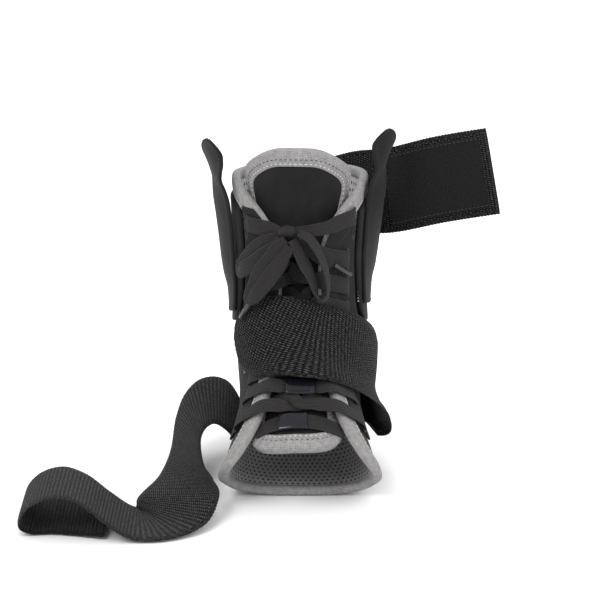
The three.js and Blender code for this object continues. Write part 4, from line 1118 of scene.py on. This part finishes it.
for name, sign in sides:
    slitSpot, tapeSpot, edgeSpot = bow["topLace"][name]
    rows = [(sign * beyondEdge(slitSpot + 0.35, d), s, lift) for d, s, lift in (
        (lacing["slitInset"] + lacing["throughSlit"], slitSpot, lacing["throughLift"]),
        (lacing["slitInset"], slitSpot, layers["lace"]), (body["tapeWidth"] / 2, tapeSpot, layers["lace"]),
        (bendDistance, edgeSpot, layers["lace"] + bendLift))]
    rows.append((knotAngle + sign * knotSide, knotStation, knotLift))
    route = formRoute(rows, bow["topSamples"])
    width = lace["width"] - bow["topNarrow"] * ease((route["t"] - 0.6) / 0.4)
    lacePiece(f"laceTop{name.title()}", route, width, f"lace_{name}_top")

# The knot
bpy.ops.object.select_all(action="DESELECT")
bpy.ops.mesh.primitive_uv_sphere_add(segments=64, ring_count=40, radius=1)
knot = bpy.context.object
knot.name = knot.data.name = "bowKnot"
mesh = knot.data
ball = readAll(mesh.vertices, "co", 3)
# A waist at the front and the turns of the lace round the knot
waist = 1 - 0.16 * np.exp(-(ball[:, 0] / 0.35) ** 2) * (ball[:, 1] < 0)
wrap = 1 + 0.035 * np.cos(ball[:, 0] * 17 + ball[:, 2] * 4)
halfSize = np.array([1, bow["knotHeight"], bow["knotDepth"]]) * bow["knotWidth"] / 2
knotShape = ball * halfSize * (wrap * waist)[:, None]
mesh.vertices.foreach_set("co", toScene(knotShape + knotPoint).reshape(-1))
mesh.polygons.foreach_set("use_smooth", [True] * len(mesh.polygons))
corner = readAll(mesh.loops, "vertex_index", 1, int)[:, 0]
mesh.uv_layers[0].data.foreach_set("uv", knotShape[corner][:, [2, 0]].reshape(-1))
wear(knot, laceLook, "lace_cord", "bow_knot")

ends = {}
for node, rows in bow["routes"].items():
    isLoop = node.startswith("bow")
    route = formRoute(rows, bow["loopSamples"] if isLoop else bow["endSamples"])
    twist = smoothColumn(range(len(rows)), [row[3] for row in rows])(route["t"] * (len(rows) - 1))
    pinch = ease(route["t"] / bow["pinchShare"])
    if isLoop:
        pinch = pinch * ease((1 - route["t"]) / bow["pinchShare"])
    width = bow["pinched"] + (lace["width"] - bow["pinched"]) * pinch
    if not isLoop:
        width = width * (1 - bow["endNarrow"] * ease((route["t"] - 0.9) / 0.1))
        ends[node] = route
    lacePiece(bow["pieceNames"][node], route, width, node, twist=twist)

aglet = {"length": 13, "radius": 1.5, "gap": 0.4, "bevel": 0.3}
for name, sign in sides:
    route = ends[f"lace_end_{name}"]
    end, along = route["points"][-1], unit(route["points"][-1] - route["points"][-6])
    side = unit(np.cross(along, np.array([0, 0, 1.0])))
    axes = np.stack([side, np.cross(along, side), along], -1)[None]
    centre = (end + along * (aglet["gap"] + aglet["length"] / 2))[None]
    bpy.ops.object.select_all(action="DESELECT")
    bpy.ops.mesh.primitive_cylinder_add(vertices=40, radius=aglet["radius"], depth=aglet["length"])
    tube = bpy.context.object
    bpy.ops.object.modifier_add(type="BEVEL")
    tube.modifiers[0].width, tube.modifiers[0].segments = aglet["bevel"], 3
    bpy.ops.object.modifier_apply(modifier=tube.modifiers[0].name)
    wear(copiesOf(f"aglet{name.title()}", tube, axes, centre), clearLook, "clear_plastic", f"aglet_{name}")
print("bow ready")

# Floor, light and camera
studio = {
    "floor": 6.0, "distance": 1.4, "elevation": 15, "target": (0, 0, 95), "lens": 142.8,
    # place, size and watts
    "lights": [((-0.9, -1.3, 1.5), 1.1, 26), ((1.2, -0.9, 1.1), 1.2, 14), ((0.1, 1.1, 1.6), 1.2, 16)],
    "sky": 0.95,
}


def paintFloor(x, y, grain, place):
    haze = grain(0.01, 2)
    return {
        "Base Color": haze.blend(ink(0.88, 0.88, 0.885), ink(0.92, 0.92, 0.92)),
        "Roughness": haze * 0.1 + 0.6,
    }


floorLook = makeLook("paleFloor", {}, paintFloor, onObject=True)
bpy.ops.object.select_all(action="DESELECT")
bpy.ops.mesh.primitive_plane_add(size=studio["floor"], location=(0, 0, 0))
floor = bpy.context.object
floor.name = "floor"
floor.data.materials.append(floorLook)

target = toScene(studio["target"])
for number, (place, size, power) in enumerate(studio["lights"]):
    lamp = bpy.data.lights.new(f"softLight{number + 1}", "AREA")
    lamp.size, lamp.energy = size, power
    holder = bpy.data.objects.new(lamp.name, lamp)
    holder.location = place
    holder.rotation_mode = "QUATERNION"
    holder.rotation_quaternion = Vector(target - place).to_track_quat("-Z", "Y")
    scene.collection.objects.link(holder)

world = bpy.data.worlds.new("studioSky")
world.use_nodes = True
sky = world.node_tree.nodes["Background"]
sky.inputs["Color"].default_value = (1, 1, 1, 1)
sky.inputs["Strength"].default_value = studio["sky"]
scene.world = world
scene.view_settings.view_transform = "Standard"

tilt = math.radians(studio["elevation"])
camera = bpy.data.objects.new("camera", bpy.data.cameras.new("camera"))
camera.data.lens, camera.data.sensor_width = studio["lens"], 36
camera.location = target + studio["distance"] * np.array([0, -math.cos(tilt), math.sin(tilt)])
camera.rotation_euler = (math.pi / 2 - tilt, 0, 0)
camera.data.clip_start, camera.data.clip_end = 0.05, 20
scene.collection.objects.link(camera)
scene.camera = camera

print("camera and light ready")
